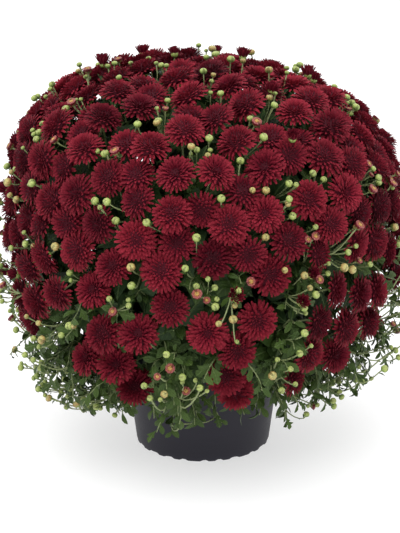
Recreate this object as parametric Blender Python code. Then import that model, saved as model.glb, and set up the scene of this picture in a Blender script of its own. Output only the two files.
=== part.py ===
"""Pot chrysanthemum: a dome of double red blooms on branching leafy stems, in a tapered nursery pot.

Metres, +Z up. The origin is the centre of the pot's base, on the surface that it stands on. The front is -Y.
The stems stand in holes in the soil and fork towards the dome. Each bloom belongs to a cluster of neighbours
whose petals grip each other, and a stem's branch ends just under each cluster.
"""

import math
import random

import bmesh
import bpy
import numpy as np
from mathutils import Matrix, Vector
from mathutils.bvhtree import BVHTree

# Pot and soil
POT_HEIGHT = 0.165
POT_BASE_RADIUS = 0.092
POT_RIM_RADIUS = 0.115
POT_WALL = 0.0022
POT_FLOOR = 0.0035
POT_SEGMENTS = 36
RIM_BAND_HEIGHT = 0.022
RIM_BAND_STEP = 0.0022
NOTCH_DEPTH = 0.010
NOTCH_HEIGHT = 0.0024
NOTCH_EVERY = 4
DRAIN_HOLE_RADIUS = 0.0065
DRAIN_HOLE_COUNT = 5
DRAIN_HOLE_CIRCLE = 0.052
SOIL_SEGMENTS = POT_SEGMENTS // 2
SOIL_EDGE_Z = 0.1450
SOIL_CROWN_Z = 0.1500
SOIL_RELIEF = 0.0014
CLEARANCE = 0.0003

# Dome on which the blooms open, with polar angles from straight up
DOME_CENTRE = Vector((0.0, 0.0, 0.335))
DOME_RADIUS = 0.262
DOME_RISE = 0.190
DOME_DROP = 0.245
DOME_SQUARENESS = 2.35
SKIRT_SQUARENESS = 2.9
DOME_LEAN = 0.050
SHOULDER_POLAR = math.radians(55)
FIRST_TWIG_POLAR = math.radians(88)
SKIRT_POLAR = math.radians(102)
LOWEST_BLOOM_POLAR = math.radians(136)
LOWEST_LEAF_POLAR = math.radians(143)
FRONT_BLOOM_POLAR = math.radians(135)
FRONT_BLOOM_AZIMUTH = math.radians(-78)

# Blooms. Each corner of a petal has its turn in petals, its reach in bloom radii, and its height
BLOOM_COUNT = 190
CROWN_DENSITY = 0.80
SKIRT_DENSITY = 0.28
CLUSTER_COUNT = 44
CLUSTER_LIMIT = 5
BLOOM_RADIUS = 0.0245
BLOOM_PETALS = 6
BLOOM_CROWN_HEIGHT = 0.0120
LOWER_PETAL = (0.0, 1.0, 0.0)
PETAL_NOTCH = (0.5, 0.52, -0.0010)
UPPER_PETAL = (0.5, 0.70, 0.0080)
BLOOM_CUP_DEPTH = 0.0090
STALK_GAP = BLOOM_CUP_DEPTH + 1.5 * CLEARANCE
GRIP_REACH = 0.34
GRIP_HEIGHT = 0.0008
GRIP_DISTANCE = 0.0475
NEIGHBOUR_DISTANCE = 0.0515
BLOOM_SWAY = 0.20
BLOOM_OWN_SWAY = 0.12
BLOOM_SINK = 0.010
BLOOM_UNEVENNESS = 0.002
BLOOM_LOOK_UP = 0.12
SKIRT_LOOK_UP = 1.1

# Stems, in tiers of a count, a lean from upright in degrees, and the radius of their ring of holes
CROWN = Vector((0.0, 0.0, 0.170))
STEM_TIERS = ((3, 16.0, 0.017), (5, 46.0, 0.039), (6, 80.0, 0.063))
STEM_BOTTOM_Z = 0.118
STEM_NECK_Z = 0.158
STEM_RADIUS = 0.0034
FORK_REACH = 0.105
FORK_LIFT = 0.034
FORK_RADIUS = 0.0024
BRANCH_RADIUS = 0.0015
TWIG_RADIUS = 0.0012
TWIG_COUNT = 28
TWIG_PROUD = 0.004
TWIG_SPACING = 0.045
TWIG_DROOP = 0.25

# Leaves and buds. A leaf's outline goes up one side, in leaf lengths and widths
LEAF_LENGTH = 0.042
LEAF_WIDTH = 0.023
LEAF_KEEL = 0.0010
LEAF_KEEL_PLACE = 0.45
LEAF_CUP = 0.0022
LEAF_DROOP = 0.10
PLAIN_LEAF = ((0.46, 0.5),)
LOBED_LEAF = ((0.52, 0.5), (0.60, 0.26))
LOBED_SHARE = 0.5
LEAF_SIZES = (0.78, 1.12)
LEAVES_PER_TWIG = 4
LEAVES_PER_BRANCH = 1
LEAF_TRIES = 10
LAST_LEAF_PLACE = 0.92
LEAF_STEP = 0.17
LEAF_STEP_DRIFT = 0.05
BUD_RADIUS = 0.0056
BUD_COUNT = 40
BUD_PROUD = 0.015
BUD_SPACING = 0.030
BUD_NECK = 0.9
BUD_TIP = 0.95
BUD_STALK_RADIUS = 0.0008
BUD_STALK_DEPTH = 0.040
BUD_STALK_REACH = 0.070

# Colours, as linear red, green and blue
POT_COLOUR = (0.021, 0.023, 0.027)
SOIL_COLOUR = (0.040, 0.025, 0.015)
BLOOM_COLOUR = (0.230, 0.006, 0.013)
LEAF_COLOUR = (0.050, 0.135, 0.024)

GOLDEN_ANGLE = math.pi * (3.0 - math.sqrt(5.0))
UP = Vector((0.0, 0.0, 1.0))


# Plan of the plant


def dome_point(direction, proud=0.0):
    """The point where this direction from the dome's centre meets the dome, and the dome's normal there."""
    across = math.hypot(direction.x, direction.y)
    rising = direction.z >= 0.0
    height = DOME_RISE if rising else DOME_DROP
    power = DOME_SQUARENESS if rising else SKIRT_SQUARENESS
    wide, tall = across / DOME_RADIUS, abs(direction.z) / height
    reach = (wide**power + tall**power) ** (-1.0 / power)
    slope_out = wide ** (power - 1.0) / DOME_RADIUS
    slope_up = math.copysign(tall ** (power - 1.0) / height, direction.z)
    outward = Vector((direction.x, direction.y, 0.0)) / max(across, 1e-9)
    normal = (outward * slope_out + UP * slope_up).normalized()
    return DOME_CENTRE + direction * reach + normal * proud, normal


def leaned(point):
    """A point of the even dome, moved to where the plant's slight lean to its left brings it."""
    rise = min(1.0, max(0.0, (point.z - DOME_CENTRE.z) / DOME_RISE))
    return point - UP * DOME_LEAN * point.x * rise


def polar_direction(polar, azimuth):
    return Vector((math.sin(polar) * math.cos(azimuth), math.sin(polar) * math.sin(azimuth), math.cos(polar)))


FRONT_BLOOM_WAY = polar_direction(FRONT_BLOOM_POLAR, FRONT_BLOOM_AZIMUTH)


def bloom_density(polar):
    """How closely the blooms stand: closest round the sides, and thinning out over the leafy skirt."""
    rising = min(1.0, polar / SHOULDER_POLAR)
    fading = min(1.0, max(0.0, (polar - SKIRT_POLAR) / (LOWEST_BLOOM_POLAR - SKIRT_POLAR)))
    return (CROWN_DENSITY + (1.0 - CROWN_DENSITY) * rising) * (1.0 + (SKIRT_DENSITY - 1.0) * fading)


def even_polars(count, first, last, density):
    """Polar angles that share out the dome's area between two of them, weighted by a density."""
    polars = np.linspace(first, last, 400)
    edges = [dome_point(polar_direction(polar, math.pi / 2))[0] for polar in polars]
    areas = [a.y * (b - a).length * density(polar) for polar, a, b in zip(polars, edges, edges[1:])]
    totals = np.cumsum(areas)
    wanted = (np.arange(count) + 0.5) / count * totals[-1]
    return [float(polars[k]) for k in np.searchsorted(totals, wanted)]


def settled(points, wanted, pull, rounds):
    """The points once neighbours have pushed apart and gripping ones drawn together, all kept on the dome."""
    points = np.array(points)
    for _ in range(rounds):
        offsets = points[:, None, :] - points[None, :, :]
        distances = np.linalg.norm(offsets, axis=2) + 1e-9
        short = np.where(pull, distances - wanted, np.minimum(0.0, distances - wanted))
        np.fill_diagonal(short, 0.0)
        points = points - 0.22 * (offsets / distances[:, :, None] * short[:, :, None]).sum(axis=1)
        points = np.array([dome_point((Vector(p) - DOME_CENTRE).normalized())[0] for p in points])
        points[-1] = dome_point(FRONT_BLOOM_WAY)[0]
    return points


def full_homes(distances):
    """The cluster that each bloom joins: the nearest links are made first, until a cluster is full."""
    home = np.full(len(distances), -1)
    for link in np.argsort(distances, axis=None):
        bloom, cluster = divmod(int(link), CLUSTER_COUNT)
        if home[bloom] < 0 and np.count_nonzero(home == cluster) < CLUSTER_LIMIT:
            home[bloom] = cluster
    return home


def clusters_of(points):
    """Groups of neighbouring blooms, each listed as pairs of a bloom and the earlier bloom that it grips."""
    polars = even_polars(CLUSTER_COUNT, 0.0, LOWEST_BLOOM_POLAR, bloom_density)
    centres = np.array([dome_point(polar_direction(p, k * GOLDEN_ANGLE))[0] for k, p in enumerate(polars)])
    for _ in range(4):
        home = full_homes(np.linalg.norm(points[:, None, :] - centres[None, :, :], axis=2))
        for c in set(home):
            centres[c] = points[home == c].mean(axis=0)
    clusters = []
    for c in sorted(set(home)):
        waiting = [int(k) for k in np.flatnonzero(home == c)]
        first = min(waiting, key=lambda k: np.linalg.norm(points[k] - centres[c]))
        waiting.remove(first)
        pairs = [(first, None)]
        while waiting:
            links = [(np.linalg.norm(points[k] - points[j]), k, j) for k in waiting for j, _ in pairs]
            _, k, j = min(links)
            pairs.append((k, j))
            waiting.remove(k)
        clusters.append(pairs)
    return clusters


class Bloom:
    """A bloom's centre, the way that it faces, its petals' turn, its radius and the bloom that it grips."""

    def __init__(self, centre, facing, turn):
        self.centre, self.facing, self.turn = centre, facing, turn
        self.radius = BLOOM_RADIUS
        self.grips = None

    def matrix(self):
        turned = self.facing.to_track_quat("Z", "Y").to_matrix().to_4x4() @ Matrix.Rotation(self.turn, 4, "Z")
        return Matrix.Translation(self.centre) @ turned


def planned_clusters():
    """Lists of blooms, each list a cluster with its middle bloom first."""
    draw = random.Random(11)
    points = []
    for k, polar in enumerate(even_polars(BLOOM_COUNT - 1, 0.0, LOWEST_BLOOM_POLAR, bloom_density)):
        azimuth = k * GOLDEN_ANGLE + draw.uniform(-0.2, 0.2)
        points.append(dome_point(polar_direction(polar + draw.uniform(-0.03, 0.03), azimuth))[0])
    points.append(dome_point(FRONT_BLOOM_WAY)[0])
    wanted = np.full((BLOOM_COUNT, BLOOM_COUNT), NEIGHBOUR_DISTANCE)
    points = settled(points, wanted, wanted < 0.0, 40)
    clusters = clusters_of(points)
    pull = wanted < 0.0
    for pairs in clusters:
        for a, grips in pairs:
            for b, _ in pairs:
                wanted[a, b] = GRIP_DISTANCE
            if grips is not None:
                pull[a, grips] = pull[grips, a] = True
    points = settled(points, wanted, pull, 120)
    listed = []
    for pairs in clusters:
        sink = draw.uniform(0.0, BLOOM_SINK)
        shared = Vector([draw.gauss(0.0, BLOOM_SWAY) for _ in range(3)])
        made = {}
        for k, grips in pairs:
            point, normal = dome_point((Vector(points[k]) - DOME_CENTRE).normalized())
            own = Vector([draw.gauss(0.0, BLOOM_OWN_SWAY) for _ in range(3)])
            looking_up = UP * (BLOOM_LOOK_UP + SKIRT_LOOK_UP * max(0.0, -normal.z))
            facing = (normal + looking_up + shared + own).normalized()
            sunk = point - normal * (sink + draw.uniform(-BLOOM_UNEVENNESS, BLOOM_UNEVENNESS))
            made[k] = Bloom(leaned(sunk), facing, draw.uniform(0.0, math.tau))
            made[k].grips = made.get(grips)
        listed.append(list(made.values()))
    for a, cluster in enumerate(listed):
        for b, others in enumerate(listed):
            for bloom in cluster:
                for other in others if a != b else []:
                    room = (bloom.centre - other.centre).length / 2 - CLEARANCE
                    bloom.radius = min(bloom.radius, room)
    return listed


def bend(start, start_way, end, end_way, count):
    """Points along a smooth bend from one place and direction to another."""
    span = (end - start).length
    points = []
    for k in range(count + 1):
        t = k / count
        points.append(
            start * (2 * t**3 - 3 * t**2 + 1)
            + end * (3 * t**2 - 2 * t**3)
            + start_way * span * (t**3 - 2 * t**2 + t)
            + end_way * span * (t**3 - t**2)
        )
    return points


class Stem:
    """A leafy stem's foot in the soil, the way that it leans, its main run and the runs that branch from it."""

    def __init__(self, ring, lean):
        self.ring, self.lean = ring, lean
        self.tips, self.ends, self.branches, self.twigs = [], [], [], []

    def grow(self):
        side = Vector((self.lean.x, self.lean.y, 0.0)).normalized()
        foot = side * self.ring + UP * STEM_BOTTOM_Z
        neck = foot + UP * (STEM_NECK_Z - STEM_BOTTOM_Z)
        fork = CROWN + self.lean * FORK_REACH + UP * FORK_LIFT * (1.0 - self.lean.z)
        self.way = (self.lean + (fork - neck).normalized() * 0.5).normalized()
        self.main = [foot, *bend(neck, UP, fork, self.way, 3)]
        ends = [(b.centre - b.facing * STALK_GAP, b.facing, self.branches, 2) for b in self.tips]
        ends += [(point, (normal - UP * TWIG_DROOP).normalized(), self.twigs, 3) for point, normal in self.ends]
        ends.sort(key=lambda end: self.lean.dot(end[0]))
        for k, (end, end_way, runs, bends) in enumerate(ends, 1):
            start = self.main[-2].lerp(self.main[-1], 0.97 * k / len(ends))
            start_way = ((end - start).normalized() + self.way * 0.5).normalized()
            runs.append(bend(start, start_way, end, end_way, bends))


def planned_stems(clusters):
    """The stems. Every cluster goes to the stem that leans most nearly its way, and the leans then settle."""
    stems = []
    for tier, (count, polar, ring) in enumerate(STEM_TIERS):
        for k in range(count):
            azimuth = math.tau * (k + 0.37 * tier) / count - math.pi / 2
            stems.append(Stem(ring, polar_direction(math.radians(polar), azimuth)))
    ends = gaps_between(clusters, TWIG_COUNT, FIRST_TWIG_POLAR, TWIG_PROUD, TWIG_SPACING)
    for _ in range(8):
        for stem in stems:
            stem.tips, stem.ends = [], []
        for cluster in clusters:
            nearest_stem(stems, cluster[0].centre).tips.append(cluster[0])
        for end in ends:
            nearest_stem(stems, end[0]).ends.append(end)
        for stem in stems:
            places = [bloom.centre for bloom in stem.tips] + [point for point, _ in stem.ends]
            stem.lean = sum([(place - CROWN).normalized() for place in places], stem.lean * 0.5).normalized()
    for stem in stems:
        stem.grow()
    return stems


def nearest_stem(stems, point):
    way = (point - CROWN).normalized()
    return max(stems, key=lambda stem: stem.lean.dot(way))


def gaps_between(clusters, count, first, proud, apart):
    """Open places on the dome: the ones furthest from any bloom and from each other."""
    centres = np.array([bloom.centre for cluster in clusters for bloom in cluster])
    places = []
    for k, polar in enumerate(even_polars(1500, first, LOWEST_LEAF_POLAR, lambda polar: 1.0)):
        point, normal = dome_point(polar_direction(polar, k * GOLDEN_ANGLE), proud)
        point = leaned(point)
        places.append((np.linalg.norm(centres - np.array(point), axis=1).min(), point, normal))
    places.sort(key=lambda place: -place[0])
    chosen = []
    for _, point, normal in places:
        if all((point - other).length > apart for other, _ in chosen):
            chosen.append((point, normal))
        if len(chosen) == count:
            break
    return chosen


# Shapes


def mesh_of(name, points, faces):
    """A mesh from points and faces, with its normals made to point out."""
    data = bpy.data.meshes.new(name)
    data.from_pydata([tuple(p) for p in points], [], faces)
    shape = bmesh.new()
    shape.from_mesh(data)
    bmesh.ops.recalc_face_normals(shape, faces=shape.faces)
    shape.to_mesh(data)
    shape.free()
    return data


def rosette(bloom):
    """A bloom as one closed rosette: petals round the rim, a crown of inner petals, and the cup below."""
    count, radius = BLOOM_PETALS, bloom.radius
    points = [Vector((0, 0, -BLOOM_CUP_DEPTH)), Vector((0, 0, BLOOM_CROWN_HEIGHT))]
    for k in range(count):
        for turn, out, height in (LOWER_PETAL, PETAL_NOTCH, UPPER_PETAL):
            angle = math.tau * (k + turn) / count
            points.append(Vector((math.cos(angle) * radius * out, math.sin(angle) * radius * out, height)))
    if bloom.grips:
        host = bloom.grips.matrix()
        toward = host.inverted() @ bloom.centre
        inside = Vector((toward.x, toward.y, 0.0)).normalized() * bloom.grips.radius * GRIP_REACH
        local = bloom.matrix().inverted() @ (host @ (inside + UP * GRIP_HEIGHT))
        tips = [k for k in range(2, len(points)) if k % 3 != 0]
        nearest = max(tips, key=lambda k: points[k].normalized().dot(local.normalized()))
        points[nearest] = local
    faces = []
    for k in range(count):
        before = (k - 1) % count
        tip, valley, crown = 2 + 3 * k, 3 + 3 * k, 4 + 3 * k
        last_valley, last_crown = 3 + 3 * before, 4 + 3 * before
        faces += [(last_valley, tip, last_crown), (tip, valley, crown), (last_crown, tip, crown)]
        faces += [(1, last_crown, crown), (0, tip, last_valley), (0, valley, tip)]
    return mesh_of("rosette", [bloom.matrix() @ p for p in points], faces)


def tube(points, radii, sides, pointed=False):
    """A closed tube along the points, with a flat or a pointed far end."""
    verts, faces = [], []
    last = len(points) - 1
    across = (points[1] - points[0]).orthogonal().normalized()
    for k, (point, radius) in enumerate(zip(points, radii)):
        way = (points[min(k + 1, last)] - points[max(k - 1, 0)]).normalized()
        across = (across - way * across.dot(way)).normalized()
        beside = way.cross(across)
        if k == last and pointed:
            verts.append(point)
            continue
        for s in range(sides):
            angle = math.tau * s / sides
            verts.append(point + (across * math.cos(angle) + beside * math.sin(angle)) * radius)
    faces.append(list(range(sides)))
    for k in range(last - 1 if pointed else last):
        for s in range(sides):
            a, b = k * sides + s, k * sides + (s + 1) % sides
            faces.append((a, b, b + sides, a + sides))
    top = (last - 1 if pointed else last) * sides
    if pointed:
        faces += [(top + s, top + (s + 1) % sides, len(verts) - 1) for s in range(sides)]
    else:
        faces.append([top + s for s in range(sides)])
    return mesh_of("tube", verts, faces)


def leaf(base, way, face_up, size, side_points):
    """A leaf blade, keeled down its middle and drooping, with the points of its outline on both sides."""
    side = way.cross(face_up).normalized()
    lift = side.cross(way)
    other_side = [(along, -across) for along, across in reversed(side_points)]
    outline = [(0.0, 0.0), *side_points, (1.0, 0.0), *other_side]

    def place(along, across, height):
        drop = LEAF_DROOP * LEAF_LENGTH * size * along**2
        flat = way * along * LEAF_LENGTH * size + side * across * LEAF_WIDTH * size
        return base + flat + lift * (height - drop)

    count = len(outline)
    points = [place(along, across, LEAF_CUP * abs(across)) for along, across in outline]
    points += [place(LEAF_KEEL_PLACE, 0.0, LEAF_KEEL), place(LEAF_KEEL_PLACE, 0.0, -LEAF_KEEL)]
    faces = []
    for k in range(count):
        faces += [(k, (k + 1) % count, count), ((k + 1) % count, k, count + 1)]
    return mesh_of("leaf", points, faces)


def bud(joint, bends, point, normal):
    """A round bud on the end of its thin stalk."""
    run = [joint, *bends, point - normal * BUD_RADIUS * BUD_NECK, point, point + normal * BUD_RADIUS * BUD_TIP]
    radii = [BUD_STALK_RADIUS] * (len(bends) + 1) + [BUD_STALK_RADIUS * 1.3, BUD_RADIUS, 0.0]
    return tube(run, radii, 4, pointed=True)


def turned(name, profile, steps):
    """A solid turned about the upright axis from a profile that starts and ends on the axis."""
    shape = bmesh.new()
    rings = [shape.verts.new((radius, 0.0, height)) for radius, height in profile]
    edges = [shape.edges.new(pair) for pair in zip(rings, rings[1:])]
    bmesh.ops.spin(
        shape, geom=rings + edges, cent=(0, 0, 0), axis=(0, 0, 1), dvec=(0, 0, 0), angle=math.tau, steps=steps
    )
    bmesh.ops.remove_doubles(shape, verts=shape.verts, dist=1e-5)
    bmesh.ops.recalc_face_normals(shape, faces=shape.faces)
    data = bpy.data.meshes.new(name)
    shape.to_mesh(data)
    shape.free()
    return data


def pot_wall(height):
    """The pot's outer radius at a height, without the rim band."""
    slope = (POT_RIM_RADIUS - RIM_BAND_STEP - POT_BASE_RADIUS) / POT_HEIGHT
    return POT_BASE_RADIUS + slope * height


def pot():
    """The pot with its rim band, small notches round the edge of its flat base, and drainage holes."""
    band = POT_HEIGHT - RIM_BAND_HEIGHT
    profile = [
        (0.0, 0.0),
        (POT_BASE_RADIUS - NOTCH_DEPTH, 0.0),
        (POT_BASE_RADIUS, 0.0),
        (pot_wall(band), band),
        (pot_wall(band) + RIM_BAND_STEP, band),
        (POT_RIM_RADIUS, POT_HEIGHT),
        (pot_wall(POT_HEIGHT) - POT_WALL, POT_HEIGHT),
        (pot_wall(POT_FLOOR) - POT_WALL, POT_FLOOR),
        (0.0, POT_FLOOR),
    ]
    data = turned("pot", profile, POT_SEGMENTS)
    for vert in data.vertices:
        step = round(math.atan2(vert.co.y, vert.co.x) / math.tau * POT_SEGMENTS)
        at_edge = vert.co.z < NOTCH_HEIGHT and vert.co.xy.length > POT_BASE_RADIUS - NOTCH_DEPTH / 2
        if at_edge and step % NOTCH_EVERY == 0:
            vert.co.z = NOTCH_HEIGHT
    holes = []
    for k in range(DRAIN_HOLE_COUNT):
        angle = math.tau * (k + 0.5) / DRAIN_HOLE_COUNT
        place = Vector((math.cos(angle), math.sin(angle), 0.0)) * DRAIN_HOLE_CIRCLE
        holes.append(tube([place - UP * POT_FLOOR, place + UP * 2 * POT_FLOOR], [DRAIN_HOLE_RADIUS] * 2, 6))
    return holed(solid("pot", data), holes)


def soil(stems):
    """The soil, just clear of the pot, with a gently uneven top and a hole for each stem."""
    draw = random.Random(5)
    floor = POT_FLOOR + CLEARANCE
    inner_edge = pot_wall(SOIL_EDGE_Z) - POT_WALL - CLEARANCE
    profile = [
        (0.0, floor),
        (pot_wall(floor) - POT_WALL - CLEARANCE, floor),
        (inner_edge, SOIL_EDGE_Z),
        (inner_edge * 0.72, SOIL_CROWN_Z),
        (inner_edge * 0.38, SOIL_CROWN_Z),
        (0.0, SOIL_CROWN_Z),
    ]
    data = turned("soil", profile, SOIL_SEGMENTS)
    for vert in data.vertices:
        if vert.co.z > SOIL_EDGE_Z:
            vert.co.z += draw.uniform(-SOIL_RELIEF, SOIL_RELIEF)
    holes = []
    for stem in stems:
        bottom = stem.main[0] - UP * CLEARANCE
        width = (STEM_RADIUS + CLEARANCE) / math.cos(math.pi / 6)
        holes.append(tube([bottom, bottom + UP * 0.05], [width] * 2, 6))
    return holed(solid("soil", data), holes)


# Room for each piece


class Crowd:
    """The shapes placed so far, with the piece that owns each, to keep the pieces clear of each other."""

    def __init__(self):
        self.placed = []

    def bounds(self, data):
        centre = sum((v.co for v in data.vertices), Vector()) / len(data.vertices)
        return centre, max((v.co - centre).length for v in data.vertices)

    def add(self, owner, data):
        faces = [tuple(p.vertices) for p in data.polygons]
        tree = BVHTree.FromPolygons([v.co.copy() for v in data.vertices], faces)
        self.placed.append((owner, tree, *self.bounds(data)))

    def has_room(self, data, grows_from, margin=2 * CLEARANCE):
        faces = [tuple(p.vertices) for p in data.polygons]
        tree = BVHTree.FromPolygons([v.co + v.normal * margin for v in data.vertices], faces)
        centre, reach = self.bounds(data)
        for other, other_tree, other_centre, other_reach in self.placed:
            near = (centre - other_centre).length < reach + other_reach + margin
            if other is not grows_from and near and tree.overlap(other_tree):
                return False
        return True


# Solids


def solid(name, data):
    obj = bpy.data.objects.new(name, data)
    bpy.context.scene.collection.objects.link(obj)
    return obj


def boolean(obj, operation, shapes):
    """The object joined with, or cut by, closed shapes in a collection that is then removed."""
    others = bpy.data.collections.new(obj.name + "_parts")
    bpy.context.scene.collection.children.link(others)
    for data in shapes:
        others.objects.link(bpy.data.objects.new(obj.name + "_part", data))
    change = obj.modifiers.new(operation.lower(), "BOOLEAN")
    change.operation = operation
    change.operand_type = "COLLECTION"
    change.collection = others
    change.solver = "MANIFOLD"
    bpy.context.view_layer.objects.active = obj
    bpy.ops.object.modifier_apply(modifier=change.name)
    for part in list(others.objects):
        bpy.data.objects.remove(part)
    bpy.data.collections.remove(others)
    return obj


def united(name, shapes):
    obj = solid(name, shapes[0])
    return boolean(obj, "UNION", shapes[1:]) if len(shapes) > 1 else obj


def holed(obj, holes):
    return boolean(obj, "DIFFERENCE", holes)


def finished(obj, colour, roughness, smooth=False):
    """The object with a material of its own, and shaded smooth where it is round."""
    material = bpy.data.materials.new(obj.name)
    material.use_nodes = True
    principled = material.node_tree.nodes["Principled BSDF"]
    principled.inputs["Base Color"].default_value = (*colour, 1.0)
    principled.inputs["Roughness"].default_value = roughness
    principled.inputs["Metallic"].default_value = 0.0
    obj.data.materials.clear()
    obj.data.materials.append(material)
    if smooth:
        obj.data.shade_smooth()
        obj.data.set_sharp_from_angle(angle=math.radians(40))
    return obj


class Growth:
    """The shapes that grow on each stem, wherever there is room for them."""

    def __init__(self, clusters, stems, crowd):
        self.clusters, self.stems, self.crowd = clusters, stems, crowd
        self.draw = random.Random(23)
        self.shapes = {stem: [] for stem in stems}
        for stem in stems:
            self.grow_runs(stem)
        self.grow_buds()
        for stem in stems:
            for run in stem.twigs:
                self.grow_leaves(stem, run, LEAVES_PER_TWIG)
            for run in stem.branches:
                self.grow_leaves(stem, run, LEAVES_PER_BRANCH)

    def keep(self, stem, data, run=None):
        self.shapes[stem].append(data)
        self.crowd.add(run, data)

    def grow_runs(self, stem):
        taper = np.linspace(STEM_RADIUS, FORK_RADIUS, len(stem.main) - 1)
        self.keep(stem, tube(stem.main, [STEM_RADIUS, *taper], 4), stem.main)
        for runs, radius in ((stem.branches, BRANCH_RADIUS), (stem.twigs, TWIG_RADIUS)):
            for run in runs:
                radii = [radius * 1.2, *[radius] * (len(run) - 2), radius * 0.8]
                self.keep(stem, tube(run, radii, 3), run)

    def grow_buds(self):
        """Buds in the widest gaps between the blooms, on straight stalks, or bent ones where those are blocked."""
        grown = 0
        for point, normal in gaps_between(self.clusters, BUD_COUNT * 4, 0.0, BUD_PROUD, BUD_SPACING):
            stem = nearest_stem(self.stems, point)
            inner = point - normal * BUD_STALK_DEPTH
            knots = [(knot, run) for run in stem.branches + stem.twigs for knot in run[1:-1]]
            joint, run = min(knots, key=lambda knot: (knot[0] - inner).length)
            for bends in ([], [inner]):
                data = bud(joint, bends, point, normal)
                if (joint - inner).length < BUD_STALK_REACH and self.crowd.has_room(data, run):
                    self.keep(stem, data)
                    grown += 1
                    break
            if grown == BUD_COUNT:
                break

    def grow_leaves(self, stem, run, wanted):
        """Leaves that step down a run from near its end, each turned until it has room."""
        for n in range(wanted):
            for _ in range(LEAF_TRIES):
                drift = self.draw.uniform(-LEAF_STEP_DRIFT, LEAF_STEP_DRIFT)
                place = (LAST_LEAF_PLACE - LEAF_STEP * n + drift) * (len(run) - 1)
                k = min(int(place), len(run) - 2)
                base = run[k].lerp(run[k + 1], place - k)
                along = (run[k + 1] - run[k]).normalized()
                turn = Matrix.Rotation(self.draw.uniform(0.0, math.tau), 3, along)
                out = (base - DOME_CENTRE).normalized()
                spread = turn @ along.orthogonal().normalized()
                way = (spread + along * 0.5 + out * 0.5 - UP * 0.15).normalized()
                outline = LOBED_LEAF if self.draw.random() < LOBED_SHARE else PLAIN_LEAF
                data = leaf(base, way, out + UP * 0.6, self.draw.uniform(*LEAF_SIZES), outline)
                if self.crowd.has_room(data, run):
                    self.keep(stem, data)
                    break


def main():
    for old in list(bpy.data.objects):
        bpy.data.objects.remove(old)
    clusters = planned_clusters()
    stems = planned_stems(clusters)
    crowd = Crowd()
    for number, cluster in enumerate(clusters, 1):
        rosettes = [rosette(bloom) for bloom in cluster]
        for data in rosettes:
            crowd.add(number, data)
        finished(united(f"blooms_{number:02d}", rosettes), BLOOM_COLOUR, 0.6)
    growth = Growth(clusters, stems, crowd)
    for number, stem in enumerate(stems, 1):
        finished(united(f"stem_{number:02d}", growth.shapes[stem]), LEAF_COLOUR, 0.5)
    finished(soil(stems), SOIL_COLOUR, 0.95)
    finished(pot(), POT_COLOUR, 0.45, smooth=True)


main()
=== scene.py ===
"""Pot chrysanthemum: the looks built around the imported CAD.

Every bloom is a cushion of close petals on its CAD place, every stem carries leaves, flower stalks and buds,
and the pot gets its fine edge. The plan of the plant repeats the plan in the CAD's source, so each piece lies
where its node does. Metres, +Z up, the front is -Y.
"""

import math
import random

import bmesh
import bpy
import numpy as np
from mathutils import Matrix, Vector


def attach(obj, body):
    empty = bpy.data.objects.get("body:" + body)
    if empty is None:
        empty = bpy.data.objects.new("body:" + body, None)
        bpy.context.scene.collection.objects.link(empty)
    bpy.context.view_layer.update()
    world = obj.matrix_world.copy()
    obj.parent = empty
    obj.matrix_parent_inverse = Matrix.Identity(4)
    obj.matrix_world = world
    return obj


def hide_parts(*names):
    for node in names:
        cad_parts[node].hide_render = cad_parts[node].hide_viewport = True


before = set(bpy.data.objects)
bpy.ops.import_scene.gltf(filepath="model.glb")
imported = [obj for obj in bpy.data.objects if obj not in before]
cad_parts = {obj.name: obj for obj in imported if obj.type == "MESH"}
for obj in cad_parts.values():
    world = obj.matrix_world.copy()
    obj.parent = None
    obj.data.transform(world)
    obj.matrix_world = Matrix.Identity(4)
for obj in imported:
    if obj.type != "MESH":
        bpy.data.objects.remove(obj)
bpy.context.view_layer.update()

# Camera, as the photograph was taken
PHOTO_HEIGHT = 533
CAMERA_PLACE = (-0.004, -2.03, 0.874)
CAMERA_PITCH = math.radians(17.2)
FOCAL_PIXELS = 1571.0
SENSOR = 36.0

# Pot
POT_HEIGHT = 0.165
POT_BASE_RADIUS = 0.092
POT_RIM_RADIUS = 0.115
POT_WALL = 0.0022
POT_FLOOR = 0.0035
RIM_BAND_HEIGHT = 0.022
RIM_BAND_STEP = 0.0022
NOTCH_HEIGHT = 0.0024
FOOT_RING_WIDTH = 0.010
POT_SIDES = 144
DRAIN_HOLE_RADIUS = 0.0065
DRAIN_HOLE_COUNT = 5
DRAIN_HOLE_CIRCLE = 0.052
CLEARANCE = 0.0003

# Dome on which the blooms open, with polar angles from straight up
DOME_CENTRE = Vector((0.0, 0.0, 0.335))
DOME_RADIUS = 0.262
DOME_RISE = 0.190
DOME_DROP = 0.245
DOME_SQUARENESS = 2.35
SKIRT_SQUARENESS = 2.9
DOME_LEAN = 0.050
SHOULDER_POLAR = math.radians(55)
FIRST_TWIG_DEGREES = 88
SKIRT_POLAR = math.radians(102)
LOWEST_BLOOM_POLAR = math.radians(136)
LOWEST_LEAF_DEGREES = 143
FRONT_BLOOM_POLAR = math.radians(135)
FRONT_BLOOM_AZIMUTH = math.radians(-78)

# Blooms
BLOOM_COUNT = 190
CROWN_DENSITY = 0.80
SKIRT_DENSITY = 0.28
CLUSTER_COUNT = 44
CLUSTER_LIMIT = 5
BLOOM_RADIUS = 0.0245
BLOOM_CUP_DEPTH = 0.0090
STALK_GAP = BLOOM_CUP_DEPTH + 1.5 * CLEARANCE
GRIP_DISTANCE = 0.0475
NEIGHBOUR_DISTANCE = 0.0515
AZIMUTH_STRAY = 0.2
POLAR_STRAY = 0.03
PUSH_SHARE = 0.22
PUSH_ROUNDS = (40, 120)
BLOOM_SWAY = 0.20
BLOOM_OWN_SWAY = 0.12
BLOOM_SINK = 0.010
BLOOM_UNEVENNESS = 0.002
BLOOM_LOOK_UP = 0.12
SKIRT_LOOK_UP = 1.1

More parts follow.
